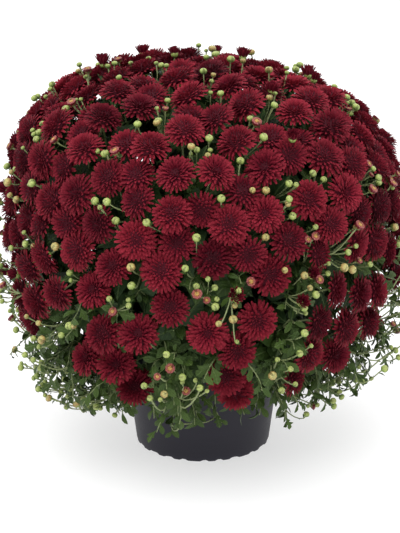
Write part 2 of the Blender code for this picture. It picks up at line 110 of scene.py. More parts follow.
# Stems, in tiers of a count, a lean from upright in degrees, and the radius of their ring of holes
CROWN = Vector((0.0, 0.0, 0.170))
STEM_TIERS = ((3, 16.0, 0.017), (5, 46.0, 0.039), (6, 80.0, 0.063))
STEM_BOTTOM_Z = 0.118
STEM_NECK_Z = 0.158
STEM_RADIUS = 0.0034
MAIN_KNOTS = 14
MAIN_SIDES = 8
BRANCH_KNOTS = 9
FORK_REACH = 0.105
FORK_LIFT = 0.034
FORK_RADIUS = 0.0024
BRANCH_RADIUS = 0.0015
TWIG_RADIUS = 0.0012
TWIG_COUNT = 28
TWIG_PROUD = 0.004
TWIG_SPACING = 0.045
TWIG_DROOP = 0.25

# Petals, in their own lengths: height, half width, half thickness
PETAL_SECTIONS = ((0.0, 0.42, -0.7), (0.72, 1.05, -1.0), (1.0, 0.55, -0.4))
PETAL_WIDTH = 0.0040
PETAL_THICKNESS = 0.0012
PETAL_TONE = 0.5
PETAL_RISE = 86
PETAL_LEAN = 60
RIM_CROWDING = 1.12
HEART_WIDTH = 0.36
DROOP_FROM = 0.66
CORE_SIDES = 10
CORE_FOOT = ((-0.0055, 0.0035), (-0.0030, 0.0120), (0.0, 0.0165))
BLOOM_SIZES = (0.99, 1.10)
BLOOM_TONE = 1.2
# Painted light: blooms that face up are made brighter, and those that face sideways and down darker, from
# this level of facing
FACING_UP_PAINTED_LIGHT = 1.0
PAINTED_LIGHT_FACING_LEVEL = 0.3
LOWER_BLOOM_SINK = (0.008, 0.018)
LOWER_BLOOM_SWAY = 0.25
# Lower blooms are darker on average, as painted shade where they sink between the clusters, with a random
# spread of tone
LOWER_BLOOM_TONE_AND_SHADE = (-0.2, 0.5)
LOWER_BLOOMS = (74, 0.0, 0.0, 0.031, 92, 4000)

# Leaves, in their own lengths: height, half width, and how far the edges sweep forward
LOBED_SECTIONS = (
    (0.0, 0.05),
    (0.20, 0.07),
    (0.30, 0.52, 0.10),
    (0.42, 0.20, 0.04),
    (0.54, 0.92, 0.12),
    (0.66, 0.34, 0.05),
    (0.80, 0.50, 0.04),
    (0.92, 0.36),
    (1.0, 0.05),
)
TRILOBE_SECTIONS = (
    (0.0, 0.05),
    (0.18, 0.08),
    (0.40, 0.46, 0.04),
    (0.50, 0.95, 0.16),
    (0.64, 0.36, 0.04),
    (0.78, 0.56, 0.03),
    (0.92, 0.38),
    (1.0, 0.05),
)
SMALL_SECTIONS = ((0.0, 0.12), (0.25, 0.62), (0.55, 1.0), (0.82, 0.70), (1.0, 0.05))
INNER_SECTIONS = ((0.0, 0.12), (0.45, 1.15), (1.0, 0.05))

# Kinds of leaf, the last two the small and the inner ones: sections, sides, lengths, and widths for a length
LEAF_KINDS = (
    (LOBED_SECTIONS, 4, (0.019, 0.029), (0.62, 0.80)),
    (TRILOBE_SECTIONS, 4, (0.019, 0.029), (0.62, 0.80)),
    (SMALL_SECTIONS, 4, (0.013, 0.022), (0.40, 0.50)),
    (INNER_SECTIONS, 3, (0.038, 0.054), (0.58, 0.66)),
)
LEAF_THICKNESS = 0.0006
MAIN_LEAF_START = 0.42
MAIN_LEAF_SPACING = 0.0032
INNER_LEAF_DEPTH = 0.032
CURTAIN_LAYERS = (
    ((480, 0.0, 0.0, 0.020, 114, 5000), (0.020, 0.036)),
    ((240, 0.0, 0.0, 0.044, 118, 4000), (0.050, 0.085)),
)
CURTAIN_LENGTHS = (0.038, 0.070)
# Painted shade: how far towards the darkest green the curtain leaves are pushed
CURTAIN_PAINTED_SHADE = -1.9
CURTAIN_BEND = (0.4, 0.1)
INNER_LEAF_START = 0.12
INNER_LEAF_SPACING = 0.0045
LEAF_START = 0.45
LEAF_SPACING = 0.0062
SKIRT_HEIGHTS = (0.10, 0.15, 0.20, 0.26, 0.34)
COVER_DEPTHS = (-0.070, -0.064, -0.044, -0.022, 0.010)
FRINGE_REACH = (0.060, 0.062, 0.044, 0.024, 0.012)
HEM_TOP_Z = 0.185
HEM_SMALL_SHARE = 0.85
HEM_LEAF_SCALE = 0.92
HANG_OUT = 0.92
HANG_DOWN = 0.30
WIDEST_SPRIG = 0.270
RIM_ROOM = 0.003
HANG_TOP_Z = 0.24
HANG_RANGE = 0.08
LEAF_HANG = 0.4
LEAF_AHEAD = (0.3, 0.8)
LEAF_OUTWARD = 0.35
LEAF_STRAY = 0.12
LEAF_DROOPS = (0.35, 1.1)
LEAF_FOLDS = (0.15, 0.45)
LEAF_TONE = 0.5
# Depth inside the dome over which leaves go from painted light, paler, to painted shade, darker
PAINTED_SHADE_DEPTH = 0.09
SHOOT_REACH = 0.075
SHOOT_RADIUS = 0.0012
SHOOT_DROOP = -0.35
SHOOT_LIFT = 0.2
SHOOT_STRAY = 0.25
SHOOT_BENDS = 6
SHOOT_SIDES = 5
SHOOT_AGE = 0.2

# Shoots of the crown, skirt, hem and apron: their places as gaps_between takes them, how far their ends sink
# under the dome, and how far they take part in the hem
SHOOT_ZONES = (
    ((175, 0.0, 0.0, 0.0255, 98, 4000), (0.020, 0.045), 0.0),
    ((110, 92, 0.0, 0.022, 124, 5000), (-0.004, 0.026), 1.0),
    ((250, 110, 0.0, 0.0200, 156, 8000), (-0.006, 0.012), 1.0),
    ((92, 137, 0.0, 0.0170, 158, 8000), (-0.020, 0.004), 0.9),
)

# Half-open blooms: where they stand proud of the crown, and how many more there are among the others
PROUD_BLOOMS = ((-0.140, 0.0), (-0.037, 0.012), (0.052, 0.020), (0.150, 0.0), (0.02, 0.13), (-0.09, 0.12))
PROUD_BLOOM_HEIGHT = 0.004
HALF_OPEN = (16, 0.0, 0.0, 0.034, 112, 2000)
HALF_OPEN_SINK = (-0.006, 0.006)
HALF_OPEN_PETALS = 40
HALF_OPEN_SIZES = (0.85, 1.1)
HALF_OPEN_LOOK_UP = 0.7
HALF_OPEN_SWAY = 0.15
HALF_OPEN_TONE = 0.4

# Stalks and buds, whose sections are a height and a radius in their own sizes
STALK_TOP = 0.0070
STALK_RADIUS = 0.0011
STALK_BENDS = 5
STALK_SIDES = 5
STALK_REACH = 0.055
CALYX_SIZE = 0.0075
CALYX_DROP = 0.0095
CALYX_SECTIONS = ((0.0, 0.25), (0.25, 0.58), (0.75, 0.70), (1.0, 0.52))
GREEN_BUD = ((0.0, 0.12), (0.08, 0.36), (0.28, 0.50), (0.52, 0.50), (0.72, 0.36), (0.80, 0.12))
CREAM_BUD = ((0.0, 0.12), (0.08, 0.38), (0.28, 0.50), (0.50, 0.52), (0.72, 0.40), (0.80, 0.14))
OPENING_BUD = ((0, 0.12), (0.08, 0.36), (0.32, 0.48), (0.66, 0.56), (0.72, 0.4), (0.66, 0.24), (0.74, 0.1))
BUD_SECTIONS = (GREEN_BUD, CREAM_BUD, OPENING_BUD)
BUD_SIDES = 8
BUD_TONE = 0.4
BUD_STALK_RADIUS = 0.0010
BUD_STALK_DEPTH = 0.040
BUD_STALK_SIDES = 4
BUD_GROUPS = ((1, 2, 3), (0.5, 0.32, 0.18))
SMALL_BUD = 0.72
BUD_SIZES = ((0.0075, 0.0108), (0.0092, 0.0112), (0.0100, 0.0120))
BRACT_LENGTHS = (0.006, 0.010)
BRACT_WIDTH = 0.38
BRACT_BEND = (0.6, 0.2)
BRACT_AGE = 0.8

# Zones of buds: places as gaps_between takes them, how proud the buds stand, their part in the hem, and how
# often each kind is met
BUD_ZONES = (
    ((46, 0.0, 0.004, 0.028, 62, 4000), (-0.004, 0.012), 0.0, (0.84, 0.10, 0.06)),
    ((130, 52, 0.004, 0.018, 98, 5000), (-0.008, 0.008), 0.0, (0.62, 0.20, 0.18)),
    ((100, 97, 0.004, 0.020, 126, 5000), (0.000, 0.014), 0.8, (0.78, 0.12, 0.10)),
    ((75, 127, 0.002, 0.020, 147, 5000), (-0.004, 0.010), 0.9, (0.88, 0.07, 0.05)),
)

# Petals, crown, heart, droop, brightness of the heart under its painted shade, and seed of each kind of
# bloom, and how often each full kind is met
HABIT_ROWS = (
    (161, 0.0140, 0.000, 0.0055, 0.55, 101),
    (164, 0.0155, 0.001, 0.0065, 0.45, 102),
    (152, 0.0125, 0.005, 0.0030, 0.10, 103),
    (157, 0.0140, 0.003, 0.0045, 0.25, 104),
    (110, 0.0125, 0.001, 0.0040, 0.30, 105),
)
FULL_SHARES = (0.3, 0.28, 0.2, 0.22)

# Colours, as linear red, green and blue
# The petals' ramp: the deep maroon is painted shade at the claws and in the heart, the bright red painted
# light at the tips, and a random tone moves petals along it
PETAL_DEEP = (0.050, 0.0017, 0.0074)
PETAL_RED = (0.122, 0.0034, 0.0145)
PETAL_BRIGHT = (0.220, 0.0140, 0.0265)
PETAL_UNDER = (0.24, 0.036, 0.064)
LEAF_DEEP = (0.012, 0.032, 0.008)
# Paler green, reached through random tone and mottling, and as painted light on leaves near the outside of
# the plant
LEAF_PALE_AND_LIT = (0.055, 0.097, 0.012)
LEAF_VEIN = (0.12, 0.18, 0.06)
LEAF_UNDER = (0.042, 0.071, 0.020)
STALK_PALE = (0.33, 0.39, 0.17)
STALK_GREEN = (0.17, 0.23, 0.08)
STEM_BROWN = (0.09, 0.075, 0.035)
BUD_GREEN_STOPS = (
    (0.0, (0.10, 0.17, 0.04)),
    (0.36, (0.15, 0.23, 0.05)),
    (0.58, (0.30, 0.38, 0.09)),
    (0.95, (0.52, 0.57, 0.20)),
)
BUD_CREAM_STOPS = (
    (0.0, (0.12, 0.20, 0.05)),
    (0.40, (0.25, 0.29, 0.07)),
    (0.52, (0.34, 0.20, 0.07)),
    (0.70, (0.44, 0.37, 0.12)),
    (1.0, (0.58, 0.56, 0.22)),
)
BUD_OPENING_STOPS = (
    (0.0, (0.12, 0.20, 0.05)),
    (0.38, (0.22, 0.22, 0.07)),
    (0.44, (0.12, 0.006, 0.012)),
    (0.60, (0.15, 0.009, 0.016)),
    (0.65, (0.27, 0.065, 0.055)),
    (0.70, (0.18, 0.020, 0.015)),
    (0.80, (0.58, 0.33, 0.07)),
    (1.0, (0.70, 0.52, 0.18)),
)
POT_DARK = (0.0085, 0.0075, 0.0140)
POT_PALE = (0.024, 0.0225, 0.035)
SOIL_DARK = (0.012, 0.008, 0.005)
SOIL_BROWN = (0.060, 0.036, 0.020)
SOIL_FLECK = (0.16, 0.10, 0.055)
FLOOR_WHITE = (0.42, 0.42, 0.42)
FLOOR_GLOW = 1.4

# Studio lights: name, strength, spread, tilt from straight down and turn round the upright axis, in degrees
LIGHTS = (
    ("key_light", 2.55, 60, 18, -25),
    ("fill_light", 0.15, 70, 70, 30),
    ("left_light", 0.35, 60, 76, -110),
    ("back_light", 0.7, 70, 58, 165),
)
WORLD_STRENGTH = 0.90
FLOOR_SIZE = 40.0
SHARP_ANGLE = math.radians(50)

# Seeds of the random draws
PLAN_SEED = 11
BLOOM_SEED = 17
PLANT_SEED = 31
HALF_OPEN_SEED = 211
NOTCH_SEED = 3

GOLDEN_ANGLE = math.pi * (3.0 - math.sqrt(5.0))
UP = Vector((0.0, 0.0, 1.0))


# Plan of the plant


def dome_point(direction, proud=0.0):
    """The point where this direction from the dome's centre meets the dome, and the dome's normal there."""
    across = math.hypot(direction.x, direction.y)
    rising = direction.z >= 0.0
    height = DOME_RISE if rising else DOME_DROP
    power = DOME_SQUARENESS if rising else SKIRT_SQUARENESS
    wide, tall = across / DOME_RADIUS, abs(direction.z) / height
    reach = (wide**power + tall**power) ** (-1.0 / power)
    slope_out = wide ** (power - 1.0) / DOME_RADIUS
    slope_up = math.copysign(tall ** (power - 1.0) / height, direction.z)
    outward = Vector((direction.x, direction.y, 0.0)) / max(across, 1e-9)
    normal = (outward * slope_out + UP * slope_up).normalized()
    return DOME_CENTRE + direction * reach + normal * proud, normal


def clamp(number):
    return min(1.0, max(0.0, number))


def jitter(draw, size):
    """A short way to anywhere."""
    return Vector([draw.gauss(0.0, size) for _ in range(3)])


def strayed(draw, way, rise, size):
    """A way that rises by a share and strays a little."""
    return (way + UP * rise + jitter(draw, size)).normalized()


def lean_at(point):
    """How far the plant's slight lean to its left lowers a point."""
    return UP * DOME_LEAN * point.x * clamp((point.z - DOME_CENTRE.z) / DOME_RISE)


def leaned(point):
    """A point of the even dome, moved to where the lean brings it."""
    return point - lean_at(point)


def polar_direction(polar, azimuth):
    return Vector((math.sin(polar) * math.cos(azimuth), math.sin(polar) * math.sin(azimuth), math.cos(polar)))


FRONT_BLOOM_WAY = polar_direction(FRONT_BLOOM_POLAR, FRONT_BLOOM_AZIMUTH)


def bloom_density(polar):
    """How closely the blooms stand: closest round the sides, and thinning out over the leafy skirt."""
    rising = min(1.0, polar / SHOULDER_POLAR)
    fading = clamp((polar - SKIRT_POLAR) / (LOWEST_BLOOM_POLAR - SKIRT_POLAR))
    return (CROWN_DENSITY + (1.0 - CROWN_DENSITY) * rising) * (1.0 + (SKIRT_DENSITY - 1.0) * fading)


def even_polars(count, first, last, density):
    """Polar angles that share out the dome's area between two of them, weighted by a density."""
    polars = np.linspace(first, last, 400)
    edges = [dome_point(polar_direction(polar, math.pi / 2))[0] for polar in polars]
    areas = [a.y * (b - a).length * density(polar) for polar, a, b in zip(polars, edges, edges[1:])]
    totals = np.cumsum(areas)
    wanted = (np.arange(count) + 0.5) / count * totals[-1]
    return [float(polars[k]) for k in np.searchsorted(totals, wanted)]


def settled(points, wanted, pull, rounds):
    """The points once neighbours have pushed apart and gripping ones drawn together, all kept on the dome."""
    points = np.array(points)
    for _ in range(rounds):
        offsets = points[:, None, :] - points[None, :, :]
        distances = np.linalg.norm(offsets, axis=2) + 1e-9
        short = np.where(pull, distances - wanted, np.minimum(0.0, distances - wanted))
        np.fill_diagonal(short, 0.0)
        points = points - PUSH_SHARE * (offsets / distances[:, :, None] * short[:, :, None]).sum(axis=1)
        points = np.array([dome_point((Vector(p) - DOME_CENTRE).normalized())[0] for p in points])
        points[-1] = dome_point(FRONT_BLOOM_WAY)[0]
    return points


def full_homes(distances):
    """The cluster that each bloom joins: the nearest links are made first, until a cluster is full."""
    home = np.full(len(distances), -1)
    for link in np.argsort(distances, axis=None):
        bloom, cluster = divmod(int(link), CLUSTER_COUNT)
        if home[bloom] < 0 and np.count_nonzero(home == cluster) < CLUSTER_LIMIT:
            home[bloom] = cluster
    return home


def clusters_of(points):
    """Groups of neighbouring blooms, each listed as pairs of a bloom and the earlier bloom that it grips."""
    polars = even_polars(CLUSTER_COUNT, 0.0, LOWEST_BLOOM_POLAR, bloom_density)
    centres = np.array([dome_point(polar_direction(p, k * GOLDEN_ANGLE))[0] for k, p in enumerate(polars)])
    for _ in range(4):
        home = full_homes(np.linalg.norm(points[:, None, :] - centres[None, :, :], axis=2))
        for c in set(home):
            centres[c] = points[home == c].mean(axis=0)
    clusters = []
    for c in sorted(set(home)):
        waiting = [int(k) for k in np.flatnonzero(home == c)]
        first = min(waiting, key=lambda k: np.linalg.norm(points[k] - centres[c]))
        waiting.remove(first)
        pairs = [(first, None)]
        while waiting:
            links = [(np.linalg.norm(points[k] - points[j]), k, j) for k in waiting for j, _ in pairs]
            _, k, j = min(links)
            pairs.append((k, j))
            waiting.remove(k)
        clusters.append(pairs)
    return clusters


def standing(place, facing, size=1.0, turn=0.0):
    """The matrix that sets what stands on +Z at a place, facing a way, grown to a size and turned."""
    turned = facing.to_track_quat("Z", "Y").to_matrix().to_4x4() @ Matrix.Rotation(turn, 4, "Z")
    return Matrix.Translation(place) @ turned @ Matrix.Scale(size, 4)


class Bloom:
    """A bloom's centre, the way that it faces, and its petals' turn."""

    def __init__(self, centre, facing, turn):
        self.centre, self.facing, self.turn = centre, facing, turn

    def matrix(self, size=1.0):
        return standing(self.centre, self.facing, size, self.turn)


def planned_clusters():
    """Lists of blooms, each list a cluster with its middle bloom first."""
    draw = random.Random(PLAN_SEED)
    points = []
    for k, polar in enumerate(even_polars(BLOOM_COUNT - 1, 0.0, LOWEST_BLOOM_POLAR, bloom_density)):
        azimuth = k * GOLDEN_ANGLE + draw.uniform(-AZIMUTH_STRAY, AZIMUTH_STRAY)
        polar += draw.uniform(-POLAR_STRAY, POLAR_STRAY)
        points.append(dome_point(polar_direction(polar, azimuth))[0])
    points.append(dome_point(FRONT_BLOOM_WAY)[0])
    wanted = np.full((BLOOM_COUNT, BLOOM_COUNT), NEIGHBOUR_DISTANCE)
    points = settled(points, wanted, wanted < 0.0, PUSH_ROUNDS[0])
    clusters = clusters_of(points)
    pull = wanted < 0.0
    for pairs in clusters:
        for a, grips in pairs:
            for b, _ in pairs:
                wanted[a, b] = GRIP_DISTANCE
            if grips is not None:
                pull[a, grips] = pull[grips, a] = True
    points = settled(points, wanted, pull, PUSH_ROUNDS[1])
    listed = []
    for pairs in clusters:
        sink = draw.uniform(0.0, BLOOM_SINK)
        shared = jitter(draw, BLOOM_SWAY)
        made = []
        for k, _ in pairs:
            point, normal = dome_point((Vector(points[k]) - DOME_CENTRE).normalized())
            own = jitter(draw, BLOOM_OWN_SWAY)
            looking_up = UP * (BLOOM_LOOK_UP + SKIRT_LOOK_UP * max(0.0, -normal.z))
            facing = (normal + looking_up + shared + own).normalized()
            sunk = point - normal * (sink + draw.uniform(-BLOOM_UNEVENNESS, BLOOM_UNEVENNESS))
            made.append(Bloom(leaned(sunk), facing, draw.uniform(0.0, math.tau)))
        listed.append(made)
    return listed


def bend(start, start_way, end, end_way, count):
    """Points along a smooth bend from one place and direction to another."""
    span = (end - start).length
    points = []
    for k in range(count + 1):
        t = k / count
        points.append(
            start * (2 * t**3 - 3 * t**2 + 1)
            + end * (3 * t**2 - 2 * t**3)
            + start_way * span * (t**3 - 2 * t**2 + t)
            + end_way * span * (t**3 - t**2)
        )
    return points


class Stem:
    """A leafy stem: its ring of holes, the way that it leans, its main run and the runs that branch off."""

    def __init__(self, ring, lean):
        self.ring, self.lean = ring, lean
        self.tips, self.ends, self.branches, self.twigs = [], [], [], []

    def grow(self):
        side = Vector((self.lean.x, self.lean.y, 0.0)).normalized()
        foot = side * self.ring + UP * STEM_BOTTOM_Z
        neck = foot + UP * (STEM_NECK_Z - STEM_BOTTOM_Z)
        fork = CROWN + self.lean * FORK_REACH + UP * FORK_LIFT * (1.0 - self.lean.z)
        self.way = (self.lean + (fork - neck).normalized() * 0.5).normalized()
        self.main = [foot, *bend(neck, UP, fork, self.way, 3)]
        ends = [(b.centre - b.facing * STALK_GAP, b.facing, self.branches, 2) for b in self.tips]
        for point, normal in self.ends:
            ends.append((point, (normal - UP * TWIG_DROOP).normalized(), self.twigs, 3))
        ends.sort(key=lambda end: self.lean.dot(end[0]))
        for k, (end, end_way, runs, bends) in enumerate(ends, 1):
            start = self.main[-2].lerp(self.main[-1], 0.97 * k / len(ends))
            start_way = ((end - start).normalized() + self.way * 0.5).normalized()
            runs.append(bend(start, start_way, end, end_way, bends))


def planned_stems(clusters):
    """The stems. Every cluster goes to the stem that leans most nearly its way, and the leans then settle."""
    stems = []
    for tier, (count, polar, ring) in enumerate(STEM_TIERS):
        for k in range(count):
            azimuth = math.tau * (k + 0.37 * tier) / count - math.pi / 2
            stems.append(Stem(ring, polar_direction(math.radians(polar), azimuth)))
    ends = gaps_between(clusters, TWIG_COUNT, FIRST_TWIG_DEGREES, TWIG_PROUD, TWIG_SPACING)
    for _ in range(8):
        for stem in stems:
            stem.tips, stem.ends = [], []
        for cluster in clusters:
            nearest_stem(stems, cluster[0].centre).tips.append(cluster[0])
        for end in ends:
            nearest_stem(stems, end[0]).ends.append(end)
        for stem in stems:
            places = [bloom.centre for bloom in stem.tips] + [point for point, _ in stem.ends]
            stem.lean = sum([(place - CROWN).normalized() for place in places], stem.lean * 0.5).normalized()
    for stem in stems:
        stem.grow()
    return stems


def nearest_stem(stems, point):
    way = (point - CROWN).normalized()
    return max(stems, key=lambda stem: stem.lean.dot(way))


def nearest_cluster(clusters, point):
    """The place in the list of the cluster whose middle bloom lies nearest a point."""
    return min(range(len(clusters)), key=lambda k: (clusters[k][0].centre - point).length)


def gaps_between(clusters, count, first, proud, apart, last=LOWEST_LEAF_DEGREES, tries=1500):
    """Open places on the dome between two polar angles in degrees: the ones furthest from any bloom, so far
    apart from each other."""
    centres = np.array([bloom.centre for cluster in clusters for bloom in cluster])
    places = []
    polars = even_polars(tries, math.radians(first), math.radians(last), lambda polar: 1.0)
    for k, polar in enumerate(polars):
        point, normal = dome_point(polar_direction(polar, k * GOLDEN_ANGLE), proud)
        point = leaned(point)
        places.append((np.linalg.norm(centres - np.array(point), axis=1).min(), point, normal))
    places.sort(key=lambda place: -place[0])
    chosen = []
    for _, point, normal in places:
        if all((point - other).length > apart for other, _ in chosen):
            chosen.append((point, normal))
        if len(chosen) == count:
            break
    return chosen


# Small shapes, drawn out in edit mode


class Shape:
    """The arrays of a small mesh: points, faces, a UV for each corner, and what the finishes read."""

    def __init__(self, points, corners, sizes, uvs, under, tone=0.0, age=0.0):
        self.points, self.corners, self.sizes, self.uvs = points, corners, sizes, uvs
        self.under = np.resize(under, len(points))
        self.tone = np.resize(tone, len(points))
        self.age = np.resize(age, len(points))

    def placed(self, points, tone=None, age=None):
        """The same faces on other points."""
        tone = self.tone if tone is None else tone
        age = self.age if age is None else age
        return Shape(points, self.corners, self.sizes, self.uvs, self.under, tone, age)

    def moved(self, matrix, tone=0.0, age=0.0):
        points = self.points @ np.array(matrix.to_3x3()).T + np.array(matrix.translation)
        return self.placed(points, self.tone + tone, self.age + age)


def joined(shapes):
    """One shape with everything that these hold."""
    firsts = np.cumsum([0] + [len(shape.points) for shape in shapes[:-1]])
    corners = np.concatenate([shape.corners + first for shape, first in zip(shapes, firsts)])
    points, *rest = [
        np.concatenate([getattr(shape, key) for shape in shapes])
        for key in ("points", "sizes", "uvs", "under", "tone", "age")
    ]
    return Shape(points, corners, *rest)


def round_sections(rows):
    """Sections for drawn_out from rows of a height and a radius."""
    return [(height, radius, radius) for height, radius in rows]


def drawn_out(name, sides, sections, closed_tip=False):
    """A closed shape drawn out along +Z from a polygon. A section is its height, its half width along X, its
    half thickness along Y, and how far its two edges sweep forward."""
    bpy.ops.object.select_all(action="DESELECT")
    bpy.ops.mesh.primitive_circle_add(vertices=sides, radius=1.0, fill_type="NGON")
    obj = bpy.context.object
    obj.name = name
    height, wide, thick = sections[0][:3]
    bpy.ops.object.mode_set(mode="EDIT")
    bpy.ops.mesh.select_all(action="SELECT")
    bpy.ops.transform.resize(value=(wide, thick, 1.0), center_override=(0, 0, 0))
    bpy.ops.transform.translate(value=(0, 0, height))
    for section in sections[1:]:
        rise = section[0] - height
        bpy.ops.mesh.extrude_region_move(TRANSFORM_OT_translate={"value": (0, 0, rise)})
        bpy.ops.transform.resize(
            value=(section[1] / wide, section[2] / thick, 1.0), center_override=(0, 0, section[0])
        )
        height, wide, thick = section[:3]
    if closed_tip:
        bpy.ops.mesh.merge(type="CENTER")
    sweep_edges(obj, sections)
    bpy.ops.mesh.select_all(action="SELECT")
    bpy.ops.mesh.normals_make_consistent(inside=False)
    bpy.ops.object.mode_set(mode="OBJECT")
    return obj


def sweep_edges(obj, sections):
    """In edit mode, moves the outer points of each section forward, from the tip down."""
    for section in reversed(sections):
        if len(section) < 4:
            continue
        mesh = bmesh.from_edit_mesh(obj.data)
        for vert in mesh.verts:
            at_edge = abs(vert.co.z - section[0]) < 1e-4 and abs(vert.co.x) > section[1] * 0.8
            vert.select_set(at_edge)
        mesh.select_flush_mode()
        bmesh.update_edit_mesh(obj.data)
        bpy.ops.transform.translate(value=(0, 0, section[3]))


def shape_of(obj, round_it=False, edge_under=0.3):
    """The finished object as a shape, with a UV across or round it and along it. The object is removed."""
    data = obj.data
    points = np.zeros(len(data.vertices) * 3)
    data.vertices.foreach_get("co", points)
    points = points.reshape(-1, 3)
    corners = np.zeros(len(data.loops), int)
    data.loops.foreach_get("vertex_index", corners)
    sizes = np.zeros(len(data.polygons), int)
    data.polygons.foreach_get("loop_total", sizes)
    across, along = 0.5 + 0.5 * points[:, 0], points[:, 2]
    if round_it:
        across = 0.5 + np.arctan2(points[:, 0], -points[:, 1]) / math.tau
        along = np.arctan2(np.hypot(points[:, 0], points[:, 1]), 0.45 - points[:, 2]) / math.pi
    uvs = np.stack([across, along], axis=1)[corners]
    under = np.where(np.abs(points[:, 0]) < 1e-3, np.where(points[:, 1] < 0.0, 1.0, 0.0), edge_under)
    bpy.data.objects.remove(obj)
    return Shape(points, corners, sizes, uvs, under)


class Pile:
    """Shapes gathered for one piece, in groups that each take a finish."""

    def __init__(self):
        self.groups = {}

    def add(self, shape, finish):
        self.groups.setdefault(finish, []).append(shape)

    def piece(self, name, slot, finishes, replaced):
        """The one mesh of it all, riding on the root body."""
        whole, indexes = [], []
        for finish, shapes in self.groups.items():
            group = joined(shapes)
            whole.append(group)
            indexes.append(np.full(len(group.sizes), len(indexes)))
        shape = joined(whole)
        data = bpy.data.meshes.new(name)
        data.vertices.add(len(shape.points))
        data.vertices.foreach_set("co", shape.points.astype(np.float32).ravel())
        data.loops.add(len(shape.corners))
        data.loops.foreach_set("vertex_index", shape.corners.astype(np.int32))
        data.polygons.add(len(shape.sizes))
        starts = np.concatenate([[0], np.cumsum(shape.sizes)[:-1]])
        data.polygons.foreach_set("loop_start", starts.astype(np.int32))
        data.polygons.foreach_set("material_index", np.concatenate(indexes).astype(np.int32))
        data.update(calc_edges=True)
        data.uv_layers.new(name="blade").data.foreach_set("uv", shape.uvs.astype(np.float32).ravel())
        for key in ("tone", "age", "under"):
            values = getattr(shape, key).astype(np.float32)
            data.attributes.new(key, "FLOAT", "POINT").data.foreach_set("value", values)
        for finish in self.groups:
            data.materials.append(finishes[finish])
        data.shade_smooth()
        data.set_sharp_from_angle(angle=SHARP_ANGLE)
        obj = bpy.data.objects.new(name, data)
        bpy.context.scene.collection.objects.link(obj)
        handed_in(obj, replaced)


def handed_in(obj, replaced):
    """The object as a piece of the root body that stands in for a node of the CAD."""
    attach(obj, "root")
    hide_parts(replaced)


def tube(points, radii, sides, age):
    """A closed tube along the points, with a UV round and along it."""
    points = np.array([tuple(p) for p in points])
    count = len(points)
    ways = np.gradient(points, axis=0)
    ways /= np.linalg.norm(ways, axis=1)[:, None]
    across = np.array(Vector(ways[0]).orthogonal().normalized())
    rings = []
    turns = np.arange(sides) / sides * math.tau
    for point, way, radius in zip(points, ways, radii):
        across = across - way * across.dot(way)
        across /= np.linalg.norm(across)
        beside = np.cross(way, across)
        rings.append(point + (np.cos(turns)[:, None] * across + np.sin(turns)[:, None] * beside) * radius)
    step, turn = np.meshgrid(np.arange(count - 1), np.arange(sides), indexing="ij")
    step, turn = step.ravel(), turn.ravel()
    after = (turn + 1) % sides
    low, high = step * sides, (step + 1) * sides
    quads = np.stack([low + turn, low + after, high + after, high + turn], axis=1)
    u = np.stack([turn, turn + 1, turn + 1, turn], axis=1) / sides
    v = np.stack([step, step, step + 1, step + 1], axis=1) / (count - 1)
    first, last = np.arange(sides)[::-1], np.arange(sides) + (count - 1) * sides
    corners = np.concatenate([quads.ravel(), first, last])
    sizes = np.concatenate([np.full(len(quads), 4), [sides, sides]])
    side_uvs = np.stack([u.ravel(), v.ravel()], axis=1)
    uvs = np.concatenate([side_uvs, np.zeros((sides, 2)), np.ones((sides, 2))])
    return Shape(np.concatenate(rings), corners, sizes, uvs, under=0.0, age=age)


# Petals and blooms


def petal_shape():
    """One petal of length 1 and half width 1, keeled beneath: a narrow claw, widest near its blunt tip."""
    return shape_of(drawn_out("petal", 3, PETAL_SECTIONS), edge_under=0.0)


class Habit:
    """How the petals of one kind of bloom stand: their count, the crown's height, the heart's depth, how far
    the rim droops, how bright the heart is under the painted shade that darkens its inner petals, and a seed."""

    def __init__(self, petals, crown, heart, droop, bright, seed):
        self.petals, self.crown, self.heart, self.droop = petals, crown, heart, droop
        self.bright, self.seed = bright, seed


def bloom_shape(petal, habit):
    """A bloom round +Z with its rim at height 0: petals on a golden spiral, each bent to its tip."""
    draw = random.Random(habit.seed)
    shapes = [core_shape(habit)]
    for k in range(habit.petals):
        place = (k + 0.5) / habit.petals
        rim = min(1.0, place**0.5 * RIM_CROWDING)
        reach = BLOOM_RADIUS * rim * draw.uniform(0.95, 1.02)
        dome = habit.crown * (1.0 - rim**2.6) ** 0.6
        dip = habit.heart * math.exp(-((rim / HEART_WIDTH) ** 2))
        drop = habit.droop * max(0.0, (place - DROOP_FROM) / (1.0 - DROOP_FROM)) ** 1.4
        tip = np.array([reach, dome - dip - drop + draw.uniform(-0.0008, 0.0008)])
        foot = np.array([0.0022 + 0.0022 * place, -0.0040])
        rise = math.radians(PETAL_RISE - PETAL_LEAN * place**0.9)
        chord = float(np.linalg.norm(tip - foot))
        knee = foot + np.array([math.cos(rise), math.sin(rise)]) * chord * draw.uniform(0.55, 0.64)
        width = PETAL_WIDTH * (0.55 + 0.45 * min(1.0, rim * 1.4)) * draw.uniform(0.88, 1.1)
        angle = k * GOLDEN_ANGLE + draw.uniform(-0.10, 0.10)
        sway = draw.uniform(-0.08, 0.08) * chord
        roll = draw.uniform(-0.28, 0.28)
        # Painted shade: petals nearer the heart are darker, down to the habit's heart brightness
        shade = habit.bright + (1.0 - habit.bright) * rim
        tone = draw.gauss(0.0, PETAL_TONE)
        shapes.append(bent_petal(petal, foot, knee, tip, width, angle, sway, roll, tone, shade))
    return joined(shapes)


